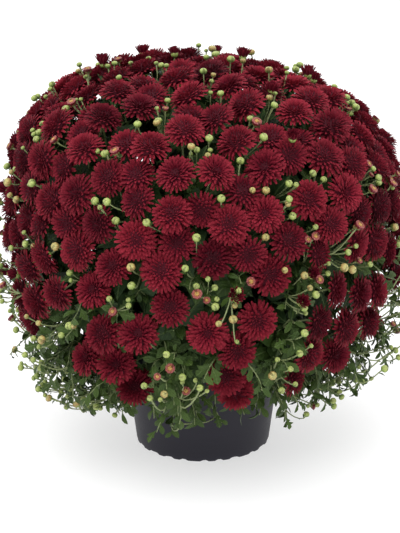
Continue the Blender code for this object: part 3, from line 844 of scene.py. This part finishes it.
def half_open_shape(petal):
    """A bloom that is still a cup: upright petals that show their backs, the outer ones just leaning out."""
    draw = random.Random(HALF_OPEN_SEED)
    shapes = []
    for k in range(HALF_OPEN_PETALS):
        place = (k + 0.5) / HALF_OPEN_PETALS
        tip = np.array([0.0015 + 0.0095 * place**0.7, 0.0145 - 0.0015 * place + draw.uniform(-0.001, 0.001)])
        foot = np.array([0.0012 + 0.0016 * place, 0.0])
        knee = np.array([0.0030 + 0.0035 * place, 0.0065])
        width = PETAL_WIDTH * draw.uniform(0.72, 0.95)
        angle = k * GOLDEN_ANGLE + draw.uniform(-0.1, 0.1)
        roll = draw.uniform(-0.2, 0.2)
        tone = draw.gauss(0.0, PETAL_TONE)
        # Painted shade: the cup's inner petals are darkest, and its outer ones only half as bright as an open
        # bloom's rim
        shapes.append(bent_petal(petal, foot, knee, tip, width, angle, 0.0, roll, tone, 0.5 * place))
    return joined(shapes)


def core_shape(habit):
    """The closed heart of packed petal claws that the petals stand out of, given the darkest maroon as
    painted shade deep in the bloom.
    """
    top = habit.crown - habit.heart
    rows = [*CORE_FOOT, (top * 0.45, 0.0145), (top * 0.72, 0.0080)]
    core = shape_of(drawn_out("core", CORE_SIDES, round_sections(rows)), edge_under=0.0)
    # Painted shade: a UV at the claw and a tone of -1 give the core the darkest maroon
    core.uvs = core.uvs * 0.0
    return core.placed(core.points, -1.0, 0.0)


def bent_petal(petal, foot, knee, tip, width, angle, sway, roll, tone, rim):
    """The petal bent along the curve from its foot to its tip in the upright plane that faces that angle."""
    along = np.clip(petal.points[:, 2], 0.0, 1.0)[:, None]
    spine = foot * (1 - along) ** 2 + knee * 2 * along * (1 - along) + tip * along**2
    slope = (knee - foot) * 2 * (1 - along) + (tip - knee) * 2 * along
    slope /= np.linalg.norm(slope, axis=1)[:, None]
    side = petal.points[:, 0] * width / 2
    lift = petal.points[:, 1] * PETAL_THICKNESS / 2
    turned_side = side * math.cos(roll) - lift * math.sin(roll)
    turned_lift = lift * math.cos(roll) + side * math.sin(roll)
    out = spine[:, 0] - slope[:, 1] * turned_lift
    up = spine[:, 1] + slope[:, 0] * turned_lift
    aside = turned_side + sway * along[:, 0] ** 2
    cosine, sine = math.cos(angle), math.sin(angle)
    points = np.stack([out * cosine - aside * sine, out * sine + aside * cosine, up], axis=1)
    return petal.placed(points, tone, rim)


HABITS = [Habit(*row) for row in HABIT_ROWS]


# Leaves


def leaf_shape(name, rows, sides):
    """A flat leaf with its tip at height 1, from rows of a height, a half width and a sweep."""
    sections = [(height, wide, 1.0, *sweep) for height, wide, *sweep in rows]
    return shape_of(drawn_out(name, sides, sections, closed_tip=True))


def laid_leaf(leaf, base, way, face_up, length, width, droop, fold, tone, age):
    """A leaf from its base along a way, bent down towards its tip and folded up along its midrib."""
    side = way.cross(face_up).normalized()
    lift = side.cross(way).normalized()
    x, y, z = leaf.points.T
    angle = droop * np.clip(z, 0.0, 1.2)
    along = np.sin(angle) / droop * length
    down = (1.0 - np.cos(angle)) / droop * length
    out = x * width / 2
    height = y * LEAF_THICKNESS / 2 + np.abs(out) * fold - down
    points = (
        np.array(base)
        + along[:, None] * np.array(way)
        + out[:, None] * np.array(side)
        + height[:, None] * np.array(lift)
    )
    return leaf.placed(points, tone, age)


def bud_shape(name, rows):
    return shape_of(drawn_out(name, BUD_SIDES, round_sections(rows)), round_it=True)


# Stems, leaves and buds on their places


def smoothed(points, count):
    """Points evenly along a smooth curve through these ones."""
    points = np.array([tuple(p) for p in points])
    padded = np.concatenate([[2 * points[0] - points[1]], points, [2 * points[-1] - points[-2]]])
    out = []
    spans = len(points) - 1
    for t in np.linspace(0.0, spans, count):
        k = min(int(t), spans - 1)
        f = t - k
        a, b, c, d = padded[k : k + 4]
        out.append(
            0.5 * (2 * b + (c - a) * f + (2 * a - 5 * b + 4 * c - d) * f**2 + (3 * b - a - 3 * c + d) * f**3)
        )
    return [Vector(p) for p in out]


def depth_below(point):
    """How far a point lies inside the leaned dome, along the line to its centre."""
    away = point + lean_at(point) - DOME_CENTRE
    surface, _ = dome_point(away.normalized())
    return (surface - DOME_CENTRE).length - away.length


def fringe(height):
    """How far the sprigs of the hem reach out of the dome at a height."""
    return float(np.interp(height, SKIRT_HEIGHTS, FRINGE_REACH))


def hung_out(point, normal, reach):
    """The point moved out of the dome, level and a little down, as the sprigs of the hem hang."""
    level = Vector((normal.x, normal.y, 0.0)).normalized()
    room = max(0.0, WIDEST_SPRIG - point.xy.length)
    return point + level * min(reach * HANG_OUT, room) - UP * reach * HANG_DOWN


def over_rim(point):
    """The point, lifted over the pot's rim where it would cross the wall."""
    if point.xy.length < POT_RIM_RADIUS + RIM_ROOM and point.z < POT_HEIGHT + RIM_ROOM:
        return Vector((point.x, point.y, POT_HEIGHT + RIM_ROOM))
    return point


class Plant:
    """What grows on the planned stems, gathered stem by stem."""

    def __init__(self, clusters, stems):
        self.clusters, self.stems = clusters, stems
        self.draw = random.Random(PLANT_SEED)
        made = [leaf_shape(f"leaf_{k}", rows, sides) for k, (rows, sides, *_) in enumerate(LEAF_KINDS)]
        *self.leaves, self.small_leaf, self.inner_leaf = made
        self.leaf_sizes = {leaf: sizes for leaf, (_, _, *sizes) in zip(made, LEAF_KINDS)}
        self.buds = [bud_shape(f"bud_{k}", rows) for k, rows in enumerate(BUD_SECTIONS)]
        self.calyx = bud_shape("calyx", CALYX_SECTIONS)
        self.growth = {stem: Pile() for stem in stems}
        self.mains = {}
        self.runs = {stem: [] for stem in stems}
        for stem in stems:
            self.grow_stem(stem)

    def grow_stem(self, stem):
        """The main run from the soil to the fork, and the planned branches and twigs."""
        main = smoothed(stem.main, MAIN_KNOTS)
        radii = np.interp(np.linspace(0, 1, MAIN_KNOTS), [0, 0.3, 1], [STEM_RADIUS, STEM_RADIUS, FORK_RADIUS])
        self.raise_tube(stem, main, radii, MAIN_SIDES, age=1.0)
        self.mains[stem] = main
        for runs, radius in ((stem.branches, BRANCH_RADIUS), (stem.twigs, TWIG_RADIUS)):
            for run in runs:
                self.grow_run(stem, smoothed(run, BRANCH_KNOTS), radius * 1.25, radius * 0.8)

    def grow_run(self, stem, run, thick, thin, sides=6, age=0.45):
        self.raise_tube(stem, run, np.linspace(thick, thin, len(run)), sides, age=age)
        self.runs[stem].append(run)

    def nearest_knot(self, stem, point):
        """The knot on this stem's runs that lies nearest a point, and the way that the run goes there."""
        best = None
        for run in self.runs[stem]:
            for k in range(2, len(run) - 1):
                far = (run[k] - point).length
                if best is None or far < best[0]:
                    best = (far, run[k], (run[k + 1] - run[k]).normalized())
        return best

    def run_to(self, stem, near, end, end_way, count, follow=1.0):
        """A smooth run to an end from the knot that lies nearest a point, first going the knot's way."""
        _, knot, way = self.nearest_knot(stem, near)
        start_way = (way * follow + (end - knot).normalized()).normalized()
        return bend(knot, start_way, end, end_way, count)

    def grow_shoots(self, places, sink, hem):
        """Side shoots that end a little below these places on the dome, or proud of them in the hem."""
        made = []
        for point, normal in places:
            stem = nearest_stem(self.stems, point)
            reach = fringe(point.z) * hem * self.draw.random()
            end = hung_out(point - normal * self.draw.uniform(*sink), normal, reach)
            inner = end - normal * SHOOT_REACH * self.draw.uniform(0.6, 1.0)
            end_way = strayed(self.draw, normal, SHOOT_DROOP if normal.z < 0.1 else SHOOT_LIFT, SHOOT_STRAY)
            run = self.run_to(stem, inner, end, end_way, SHOOT_BENDS)
            made.append((stem, [over_rim(place) for place in run]))
        for stem, run in made:
            self.grow_run(stem, run, SHOOT_RADIUS, SHOOT_RADIUS * 0.55, SHOOT_SIDES, SHOOT_AGE)

    def lay(self, stem, *leaf):
        """Adds a leaf to the stem, laid as laid_leaf lays it."""
        self.growth[stem].add(laid_leaf(*leaf), "leaf")

    def raise_tube(self, stem, points, radii, sides, age=0.0):
        """Adds a tube to the stem. The older it is, the browner."""
        self.growth[stem].add(tube(points, radii, sides, age), "stem")

    def grow_leaves(self):
        """Leaves up each run, each turned a golden angle on from the last, with broad ones deep inside."""
        for stem in self.stems:
            self.leaf_run(stem, self.mains[stem], MAIN_LEAF_START, 1.0, MAIN_LEAF_SPACING, self.inner_leaf)
            for run in self.runs[stem]:
                self.leaf_run(stem, run, INNER_LEAF_START, LEAF_START, INNER_LEAF_SPACING, self.inner_leaf)
                self.leaf_run(stem, run, LEAF_START, 0.985, LEAF_SPACING)

    def leaf_run(self, stem, run, first, last, spacing, leaf=None):
        length = sum((b - a).length for a, b in zip(run, run[1:]))
        turn = self.draw.uniform(0.0, math.tau)
        count = max(1, int(length * (last - first) / spacing))
        for n in range(count):
            share = first + (last - first) * (n + 0.5) / count
            turn += GOLDEN_ANGLE
            self.grow_leaf(stem, run, share, turn, leaf)

    def grow_leaf(self, stem, run, share, turn, leaf):
        place = share * (len(run) - 1)
        k = min(int(place), len(run) - 2)
        base = run[k].lerp(run[k + 1], place - k)
        along = (run[k + 1] - run[k]).normalized()
        across = along.orthogonal().normalized()
        out = (base - DOME_CENTRE).normalized()
        spread = Matrix.Rotation(turn, 3, along) @ across
        hang = UP * -LEAF_HANG * clamp((HANG_TOP_Z - base.z) / HANG_RANGE)
        ahead = along * self.draw.uniform(*LEAF_AHEAD)
        way = (spread + ahead + out * LEAF_OUTWARD + hang + jitter(self.draw, LEAF_STRAY)).normalized()
        in_hem = base.z < HEM_TOP_Z
        if leaf is None or depth_below(base) < INNER_LEAF_DEPTH:
            plain = self.draw.random() < (HEM_SMALL_SHARE if in_hem else 0.45 + 0.4 * share)
            leaf = self.small_leaf if plain else self.draw.choice(self.leaves)
        lengths, widths = self.leaf_sizes[leaf]
        size = self.draw.uniform(*lengths) * (HEM_LEAF_SCALE if in_hem else 1.0)
        depth, cover = depth_below(base), self.cover(base)
        if depth_below(base + way * size) < cover:
            way = (way - out * 0.9).normalized()
            if depth_below(base + way * size) < cover:
                return
        width = size * self.draw.uniform(*widths)
        face_up = strayed(self.draw, out, 0.9, 0.3)
        droop = self.draw.uniform(*LEAF_DROOPS)
        fold = self.draw.uniform(*LEAF_FOLDS)
        # Painted shade: the deeper a leaf lies inside the dome, the darker green it is given
        age = clamp(1.0 - depth / PAINTED_SHADE_DEPTH) * self.draw.uniform(0.6, 1.0)
        tone = self.draw.gauss(0.0, LEAF_TONE)
        self.lay(stem, leaf, base, way, face_up, size, width, droop, fold, tone, age)

    def grow_curtain(self, places, sink):
        """Broad leaves laid across the gaps a little way in, given the darkest green as painted shade, like
        the shaded leaves under the blooms.
        """
        for point, normal in places:
            stem = nearest_stem(self.stems, point)
            target = point - normal * self.draw.uniform(*sink)
            _, knot, _ = self.nearest_knot(stem, target)
            reach = target - knot
            size = min(max(reach.length * 1.3, CURTAIN_LENGTHS[0]), CURTAIN_LENGTHS[1])
            width = size * self.draw.uniform(*self.leaf_sizes[self.inner_leaf][1])
            face_up = strayed(self.draw, normal, 0.0, 0.15)
            # Painted shade: the curtain leaves are pushed to the darkest green
            shade = self.draw.gauss(CURTAIN_PAINTED_SHADE, LEAF_TONE)
            way = reach.normalized()
            self.lay(stem, self.inner_leaf, knot, way, face_up, size, width, *CURTAIN_BEND, shade, 0.0)

    def cover(self, base):
        """How deep a leaf's tip stays: well under the blooms of the crown, and just proud of the skirt."""
        return float(np.interp(base.z, SKIRT_HEIGHTS, COVER_DEPTHS))

    def grow_flower_stalks(self):
        """A stalk for each bloom of a cluster, from the branch that carries its middle bloom."""
        for cluster in self.clusters:
            stem = nearest_stem(self.stems, cluster[0].centre)
            for bloom in cluster:
                self.grow_stalk(stem, bloom.centre, bloom.facing)

    def grow_stalk(self, stem, centre, facing):
        """A bloom's stalk and the green cup on it."""
        end = centre - facing * STALK_TOP
        run = self.run_to(stem, end - facing * STALK_REACH, end, facing, STALK_BENDS, 1.2)
        self.raise_tube(stem, run, np.linspace(STALK_RADIUS * 1.1, STALK_RADIUS, len(run)), STALK_SIDES)
        matrix = standing(centre - facing * CALYX_DROP, facing, CALYX_SIZE)
        self.growth[stem].add(self.calyx.moved(matrix), "bud")

    def grow_half_open(self, piles, petal):
        """Half-open blooms: some proud of the crown on long stalks, and some among the others."""
        cup = half_open_shape(petal)
        places = []
        for x, y in PROUD_BLOOMS:
            point, normal = dome_point(Vector((x, y, DOME_RISE)).normalized())
            places.append((leaned(point) + normal * PROUD_BLOOM_HEIGHT, normal))
        for point, normal in gaps_between(self.clusters, *HALF_OPEN):
            places.append((point - normal * self.draw.uniform(*HALF_OPEN_SINK), normal))
        for point, normal in places:
            stem = nearest_stem(self.stems, point)
            facing = strayed(self.draw, normal, HALF_OPEN_LOOK_UP, HALF_OPEN_SWAY)
            matrix = standing(point, facing, self.draw.uniform(*HALF_OPEN_SIZES))
            laid = cup.moved(matrix, self.draw.gauss(0.0, HALF_OPEN_TONE))
            piles[nearest_cluster(self.clusters, point)].add(laid, "petal")
            self.grow_stalk(stem, point + facing * STALK_TOP, facing)

    def grow_buds(self, places, proud, hem, shares):
        """Round buds on thin stalks, alone or in twos and threes."""
        for point, normal in places:
            stem = nearest_stem(self.stems, point)
            group = self.draw.choices(*BUD_GROUPS)[0]
            reach = fringe(point.z) * hem * self.draw.uniform(0.35, 0.95)
            for n in range(group):
                shift = jitter(self.draw, 0.008) if n else Vector()
                shift -= normal * shift.dot(normal)
                lift = normal * self.draw.uniform(*proud) * (1.0 - 0.3 * n)
                centre = hung_out(point, normal, reach) + lift + shift * (1.0 + n * 0.4)
                facing = strayed(self.draw, normal, 0.5 + 0.5 * hem, 0.18)
                self.grow_bud(stem, centre, facing, shares, small=n > 0)

    def grow_bud(self, stem, centre, facing, shares, small):
        kind = self.draw.choices((0, 1, 2), shares)[0]
        size = self.draw.uniform(*BUD_SIZES[kind]) * (SMALL_BUD if small else 1.0)
        end = centre - facing * size * 0.4
        run = self.run_to(stem, end - facing * BUD_STALK_DEPTH, end, facing, STALK_BENDS)
        run = [over_rim(point) for point in run]
        radius = BUD_STALK_RADIUS * self.draw.uniform(0.8, 1.1)
        radii = [radius * 1.2] + [radius] * (STALK_BENDS - 1) + [radius * 1.4]
        self.raise_tube(stem, run, radii, BUD_STALK_SIDES)
        self.grow_bracts(stem, run)
        matrix = standing(centre - facing * size * 0.5, facing, size, self.draw.uniform(0.0, math.tau))
        bud = self.buds[kind].moved(matrix, self.draw.gauss(0.0, BUD_TONE), kind / 2)
        self.growth[stem].add(bud, "bud")

    def grow_bracts(self, stem, run):
        """Two tiny leaves up a bud's stalk."""
        for k in (3, 4):
            along = (run[k + 1] - run[k]).normalized()
            turn = Matrix.Rotation(self.draw.uniform(0.0, math.tau), 3, along)
            way = (turn @ along.orthogonal().normalized() + along).normalized()
            size = self.draw.uniform(*BRACT_LENGTHS)
            width = size * BRACT_WIDTH
            self.lay(stem, self.inner_leaf, run[k], way, along, size, width, *BRACT_BEND, 0.0, BRACT_AGE)


# Pot


def pot_piece(finish):
    """The pot drawn out ring by ring, with the fine notches round its edge and the holes in its floor."""
    band = POT_HEIGHT - RIM_BAND_HEIGHT
    inner = wall(POT_HEIGHT) - POT_WALL
    rows = [(0.0, POT_BASE_RADIUS - FOOT_RING_WIDTH), (0.0, POT_BASE_RADIUS)]
    rows += [(NOTCH_HEIGHT, POT_BASE_RADIUS + 0.0003)]
    rows += [(height, wall(height)) for height in (0.006, 0.03, 0.06, 0.09, 0.12, band - 0.0012)]
    rows += [(band, wall(band) + RIM_BAND_STEP * 0.8), (band + 0.0008, wall(band) + RIM_BAND_STEP)]
    rows += [(POT_HEIGHT - 0.0012, POT_RIM_RADIUS), (POT_HEIGHT, POT_RIM_RADIUS - 0.0006)]
    rows += [(POT_HEIGHT, inner + 0.0006), (POT_HEIGHT - 0.0010, inner)]
    rows += [(POT_FLOOR, wall(POT_FLOOR) - POT_WALL)]
    pot = drawn_out("pot_body", POT_SIDES, round_sections(rows))
    notch_edge(pot)
    drill(pot)
    pot.data.materials.clear()
    pot.data.materials.append(finish)
    pot.data.shade_smooth()
    pot.data.set_sharp_from_angle(angle=SHARP_ANGLE)
    handed_in(pot, "pot")


def wall(height):
    """The outer radius of the pot's wall at a height."""
    slope = (POT_RIM_RADIUS - RIM_BAND_STEP - POT_BASE_RADIUS) / POT_HEIGHT
    return POT_BASE_RADIUS + slope * height


def notch_edge(pot):
    """Uneven small notches in the edge of the base, as a thin moulded foot shows."""
    draw = random.Random(NOTCH_SEED)
    side, raised = 0, {}
    while side < POT_SIDES:
        wide, gap = draw.randint(2, 4), draw.randint(3, 6)
        for k in range(side, min(side + wide, POT_SIDES)):
            raised[k] = NOTCH_HEIGHT * draw.uniform(0.65, 0.95)
        side += wide + gap
    for vert in pot.data.vertices:
        k = round(math.atan2(vert.co.y, vert.co.x) / math.tau * POT_SIDES) % POT_SIDES
        at_edge = vert.co.z < 1e-5 and vert.co.xy.length > POT_BASE_RADIUS - 0.005
        if at_edge and k in raised:
            vert.co.z = raised[k]


def drill(pot):
    """The drainage holes, each cut by a Boolean."""
    bpy.ops.object.select_all(action="DESELECT")
    for k in range(DRAIN_HOLE_COUNT):
        angle = math.tau * (k + 0.5) / DRAIN_HOLE_COUNT
        place = (math.cos(angle) * DRAIN_HOLE_CIRCLE, math.sin(angle) * DRAIN_HOLE_CIRCLE, POT_FLOOR / 2)
        bpy.ops.mesh.primitive_cylinder_add(
            vertices=24, radius=DRAIN_HOLE_RADIUS, depth=POT_FLOOR * 4, location=place
        )
        drill_bit = bpy.context.object
        cut = pot.modifiers.new("hole", "BOOLEAN")
        cut.object, cut.operation, cut.solver = drill_bit, "DIFFERENCE", "EXACT"
        bpy.context.view_layer.objects.active = pot
        bpy.ops.object.modifier_apply(modifier=cut.name)
        bpy.data.objects.remove(drill_bit)


# Finishes


class Value:
    """A socket that sums can be written on: each operator adds the Math node that works it out."""

    def __init__(self, finish, socket):
        self.finish, self.socket = finish, socket

    def worked(self, operation, first, second=0.0):
        return self.finish.node("Math", {"operation": operation}, {0: first, 1: second})

    def __add__(self, other):
        return self.worked("ADD", self, other)

    def __sub__(self, other):
        return self.worked("SUBTRACT", self, other)

    def __rsub__(self, other):
        return self.worked("SUBTRACT", other, self)

    def __mul__(self, other):
        return self.worked("MULTIPLY", self, other)

    def __pow__(self, other):
        return self.worked("POWER", self, other)

    def clamped(self):
        return self.finish.node("Clamp", {}, {"Value": self})

    def absolute(self):
        return self.worked("ABSOLUTE", self)

    def wave(self):
        return self.worked("SINE", self)

    __radd__, __rmul__ = __add__, __mul__


class Finish:
    """A material and the one way that its nodes are made."""

    def __init__(self, name, roughness, constants=()):
        self.material = bpy.data.materials.new(name)
        self.material.use_nodes = True
        self.tree = self.material.node_tree
        self.shader = self.tree.nodes["Principled BSDF"]
        self.shader.inputs["Roughness"].default_value = roughness
        for key, value in constants:
            self.shader.inputs[key].default_value = value

    def node(self, kind, settings, sockets, output=0):
        made = self.tree.nodes.new("ShaderNode" + kind)
        for key, value in settings.items():
            if key == "stops":
                self.set_stops(made.color_ramp, value)
            else:
                setattr(made, key, value)
        for key, value in sockets.items():
            self.join(made.inputs[key], value)
        return Value(self, made.outputs[output])

    def join(self, socket, value):
        if isinstance(value, Value):
            self.tree.links.new(value.socket, socket)
        elif isinstance(value, tuple) and len(value) == 3 and socket.type == "RGBA":
            socket.default_value = (*value, 1.0)
        else:
            socket.default_value = value

    def set_stops(self, ramp, stops):
        while len(ramp.elements) < len(stops):
            ramp.elements.new(0.5)
        for element, (position, colour) in zip(ramp.elements, stops):
            element.position, element.color = position, (*colour, 1.0)

    def ramp(self, factor, *stops):
        return self.node("ValToRGB", {"stops": stops}, {"Fac": factor})

    def mixed(self, first, second, factor):
        return self.node("Mix", {"data_type": "RGBA"}, {0: factor, 6: first, 7: second}, 2)

    def shaded(self, colour, factor):
        """A colour brighter or darker by a factor."""
        grey = self.node("CombineColor", {}, {0: factor, 1: factor, 2: factor})
        kind = {"data_type": "RGBA", "blend_type": "MULTIPLY"}
        return self.node("Mix", kind, {0: 1.0, 6: colour, 7: grey}, 2)

    def own(self, name):
        return self.node("Attribute", {"attribute_name": name}, {}, 2)

    def blade(self):
        """How far across the blade and along it."""
        place = self.node("UVMap", {"uv_map": "blade"}, {})
        across = self.node("SeparateXYZ", {}, {"Vector": place})
        along = self.node("SeparateXYZ", {}, {"Vector": place}, 1)
        return across, along

    def noise(self, scale, detail=2.0, vector=None):
        where = vector or self.node("TexCoord", {}, {}, 3)
        return self.node("TexNoise", {}, {"Vector": where, "Scale": scale, "Detail": detail})

    def done(self, colour, roughness=None, height=None, depth=0.0):
        self.join(self.shader.inputs["Base Color"], colour)
        if roughness:
            self.join(self.shader.inputs["Roughness"], roughness)
        if height:
            bump = self.node("Bump", {}, {"Height": height, "Distance": depth})
            self.join(self.shader.inputs["Normal"], bump)
        return self.material


def petal_finish():
    """Crimson petals, pinker beneath, with painted shade that makes them maroon towards the heart and the
    claw and painted light that brightens the tip.
    """
    finish = Finish("petal_crimson", 0.68, [("Specular IOR Level", 0.12)])
    across, along = finish.blade()
    heart, tone, under = finish.own("age"), finish.own("tone"), finish.own("under")
    # Painted shade and light: dark at the claw and in the heart, bright at the tip, with a random tone; the
    # pinker underside is kept out of the shaded heart
    lit = (along * 0.75 + heart * 0.45 - 0.12 + tone * 0.07).clamped()
    face = finish.ramp(lit, (0.0, PETAL_DEEP), (0.55, PETAL_RED), (1.0, PETAL_BRIGHT))
    coloured = finish.mixed(face, PETAL_UNDER, (under * heart * 0.5).clamped())
    streak = (across * (math.tau * 4.0)).wave()
    colour = finish.shaded(coloured, 1.0 + tone * 0.10 + streak * 0.07)
    return finish.done(colour, height=streak * 0.5 + finish.noise(700.0), depth=0.0003)


def leaf_finish():
    """Deep green leaves with a pale midrib and side veins, with painted light near the outside of the plant
    and painted shade deeper in.
    """
    finish = Finish("leaf_green", 0.46, [("Specular IOR Level", 0.20)])
    across, along = finish.blade()
    depth_light, tone, under = finish.own("age"), finish.own("tone"), finish.own("under")
    off_rib = (across - 0.5).absolute() * 2.0
    rib = (1.0 - off_rib * 9.0).clamped()
    ripple = ((along - off_rib * 0.30) * (math.tau * 6.0)).wave() * 0.5 + 0.5
    veins = ripple**9.0 * (1.0 - off_rib).clamped()
    mottled = finish.noise(60.0, 3.0)
    # Painted light and shade: paler near the outside and darker deeper in, with random tone and mottling
    face = finish.mixed(LEAF_DEEP, LEAF_PALE_AND_LIT, (depth_light * 0.75 + tone * 0.16 + (mottled - 0.5) * 0.7).clamped())
    veined = finish.mixed(face, LEAF_VEIN, (rib * 0.55 + veins * 0.22).clamped())
    colour = finish.mixed(veined, LEAF_UNDER, (under * 0.55).clamped())
    roughness = 0.42 + mottled * 0.16
    return finish.done(colour, roughness, height=0.0 - rib - veins * 0.5 + mottled * 0.3, depth=0.0006)


def stem_finish():
    """Pale green stalks, browner and darker towards the soil, with fine ribs along them."""
    finish = Finish("stem_green", 0.55)
    across, _ = finish.blade()
    wood = finish.own("age")
    ribs = (across * (math.tau * 6.0)).wave()
    colour = finish.ramp(wood, (0.0, STALK_PALE), (0.45, STALK_GREEN), (1.0, STEM_BROWN))
    shaded = finish.shaded(colour, 0.9 + ribs * 0.08 + finish.noise(150.0) * 0.2)
    return finish.done(shaded, height=ribs, depth=0.0003)


def bud_finish():
    """Buds in a green cup: green, cream, or opening with a dark red ring round a yellow heart."""
    finish = Finish("bud_skin", 0.48)
    across, along = finish.blade()
    ripe, tone = finish.own("age"), finish.own("tone")
    scales = (across * (math.tau * 8.0)).wave()
    edge = along + scales * 0.03
    green = finish.ramp(edge, *BUD_GREEN_STOPS)
    cream = finish.ramp(edge, *BUD_CREAM_STOPS)
    opening = finish.ramp(edge, *BUD_OPENING_STOPS)
    young = finish.mixed(green, cream, (ripe * 2.0).clamped())
    skin = finish.mixed(young, opening, (ripe * 2.0 - 1.0).clamped())
    colour = finish.shaded(skin, 1.0 + tone * 0.12)
    return finish.done(colour, height=scales + finish.noise(500.0), depth=0.0004)


def pot_finish():
    """Matte anthracite plastic, with faint flow marks round it and paler towards the foot."""
    finish = Finish("pot_anthracite", 0.5, [("Specular IOR Level", 0.32)])
    where = finish.node("TexCoord", {}, {}, 3)
    height = finish.node("SeparateXYZ", {}, {"Vector": where}, 2)
    banded = finish.node("Mapping", {}, {"Vector": where, "Scale": (4.0, 4.0, 60.0)})
    flow = finish.noise(2.0, 3.0, banded)
    grain = finish.noise(900.0, 2.0)
    # Paler over the lowest twelve millimetres
    foot = (1.0 - height * 80.0).clamped()
    face = finish.mixed(POT_DARK, POT_PALE, (flow * 0.6 + foot * 0.25 + grain * 0.12 - 0.1).clamped())
    return finish.done(face, 0.42 + flow * 0.14 + grain * 0.08, height=grain + flow * 0.4, depth=0.00025)


def soil_finish():
    """Dark peat: crumbs and fibres in brown, with paler bark flecks."""
    finish = Finish("peat", 0.95)
    crumbs = finish.node("TexVoronoi", {}, {"Vector": finish.node("TexCoord", {}, {}, 3), "Scale": 260.0})
    dust = finish.noise(90.0, 5.0)
    flecks = (finish.noise(420.0, 2.0) * 6.0 - 3.7).clamped()
    ground = finish.mixed(SOIL_DARK, SOIL_BROWN, (dust * 1.6 - 0.3).clamped())
    colour = finish.mixed(ground, SOIL_FLECK, flecks * 0.6)
    return finish.done(colour, height=dust + crumbs, depth=0.003)


def floor_finish():
    finish = Finish("studio_floor", 0.8, [("Specular IOR Level", 0.2), ("Emission Strength", FLOOR_GLOW)])
    finish.join(finish.shader.inputs["Emission Color"], FLOOR_WHITE)
    return finish.done(FLOOR_WHITE)


# Studio


def add_camera():
    bpy.ops.object.camera_add(location=CAMERA_PLACE, rotation=(math.pi / 2 - CAMERA_PITCH, 0.0, 0.0))
    camera = bpy.context.object
    camera.data.sensor_width = SENSOR
    camera.data.lens = FOCAL_PIXELS * SENSOR / PHOTO_HEIGHT
    bpy.context.scene.camera = camera


def add_light(name, strength, spread, tilt, turn):
    """A broad far light."""
    rotation = (math.radians(tilt), 0.0, math.radians(turn))
    bpy.ops.object.light_add(type="SUN", location=(0, 0, 3), rotation=rotation)
    light = bpy.context.object
    light.name = name
    light.data.energy = strength
    light.data.angle = math.radians(spread)


def add_studio():
    for row in LIGHTS:
        add_light(*row)
    world = bpy.data.worlds.new("studio")
    world.use_nodes = True
    world.node_tree.nodes["Background"].inputs["Color"].default_value = (1.0, 1.0, 1.0, 1.0)
    world.node_tree.nodes["Background"].inputs["Strength"].default_value = WORLD_STRENGTH
    bpy.context.scene.world = world
    bpy.context.scene.view_settings.view_transform = "Standard"
    bpy.ops.mesh.primitive_plane_add(size=FLOOR_SIZE)
    floor = bpy.context.object
    floor.name = "studio_floor"
    floor.data.materials.append(floor_finish())


def main():
    add_camera()
    add_studio()
    finishes = {"petal": petal_finish(), "leaf": leaf_finish(), "stem": stem_finish(), "bud": bud_finish()}
    pot_piece(pot_finish())
    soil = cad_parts["soil"]
    soil.data.materials.clear()
    soil.data.materials.append(soil_finish())

    clusters = planned_clusters()
    stems = planned_stems(clusters)
    petal = petal_shape()
    piles, lower = grow_blooms(clusters, petal)
    plant = Plant(clusters, stems)
    for places, sink, hem in SHOOT_ZONES:
        plant.grow_shoots(gaps_between(clusters, *places), sink, hem)
    plant.grow_leaves()
    for places, sink in CURTAIN_LAYERS:
        plant.grow_curtain(gaps_between(clusters, *places), sink)
    plant.grow_flower_stalks()
    plant.grow_half_open(piles, petal)
    for places, proud, hem, shares in BUD_ZONES:
        plant.grow_buds(gaps_between(clusters + [lower], *places), proud, hem, shares)
    for number, pile in enumerate(piles, 1):
        pile.piece(f"bloom_cluster_{number:02d}", "petals", finishes, f"blooms_{number:02d}")
    for number, stem in enumerate(stems, 1):
        plant.growth[stem].piece(f"leafy_stem_{number:02d}", "foliage", finishes, f"stem_{number:02d}")


def grow_blooms(clusters, petal):
    """Each cluster's blooms on their CAD places, and lower blooms that fill the gaps between the clusters."""
    draw = random.Random(BLOOM_SEED)
    kinds = [bloom_shape(petal, habit) for habit in HABITS]
    piles = [Pile() for _ in clusters]
    for pile, cluster in zip(piles, clusters):
        for bloom in cluster:
            kind = draw.choices(range(len(FULL_SHARES)), FULL_SHARES)[0]
            size = draw.uniform(*BLOOM_SIZES)
            # Painted light: the more a bloom faces up, the brighter its petals, on top of a random tone
            tone = draw.gauss(0.0, BLOOM_TONE) + FACING_UP_PAINTED_LIGHT * (bloom.facing.z - PAINTED_LIGHT_FACING_LEVEL)
            pile.add(kinds[kind].moved(bloom.matrix(size), tone), "petal")
    lower = []
    for point, normal in gaps_between(clusters, *LOWER_BLOOMS):
        facing = strayed(draw, normal, BLOOM_LOOK_UP, LOWER_BLOOM_SWAY)
        centre = point - normal * draw.uniform(*LOWER_BLOOM_SINK)
        bloom = Bloom(centre, facing, draw.uniform(0.0, math.tau))
        # Painted shade: the sunk lower blooms are darker on average, with a random spread
        shade = draw.gauss(*LOWER_BLOOM_TONE_AND_SHADE)
        piles[nearest_cluster(clusters, point)].add(kinds[-1].moved(bloom.matrix(), shade), "petal")
        lower.append(bloom)
    return piles, lower


main()
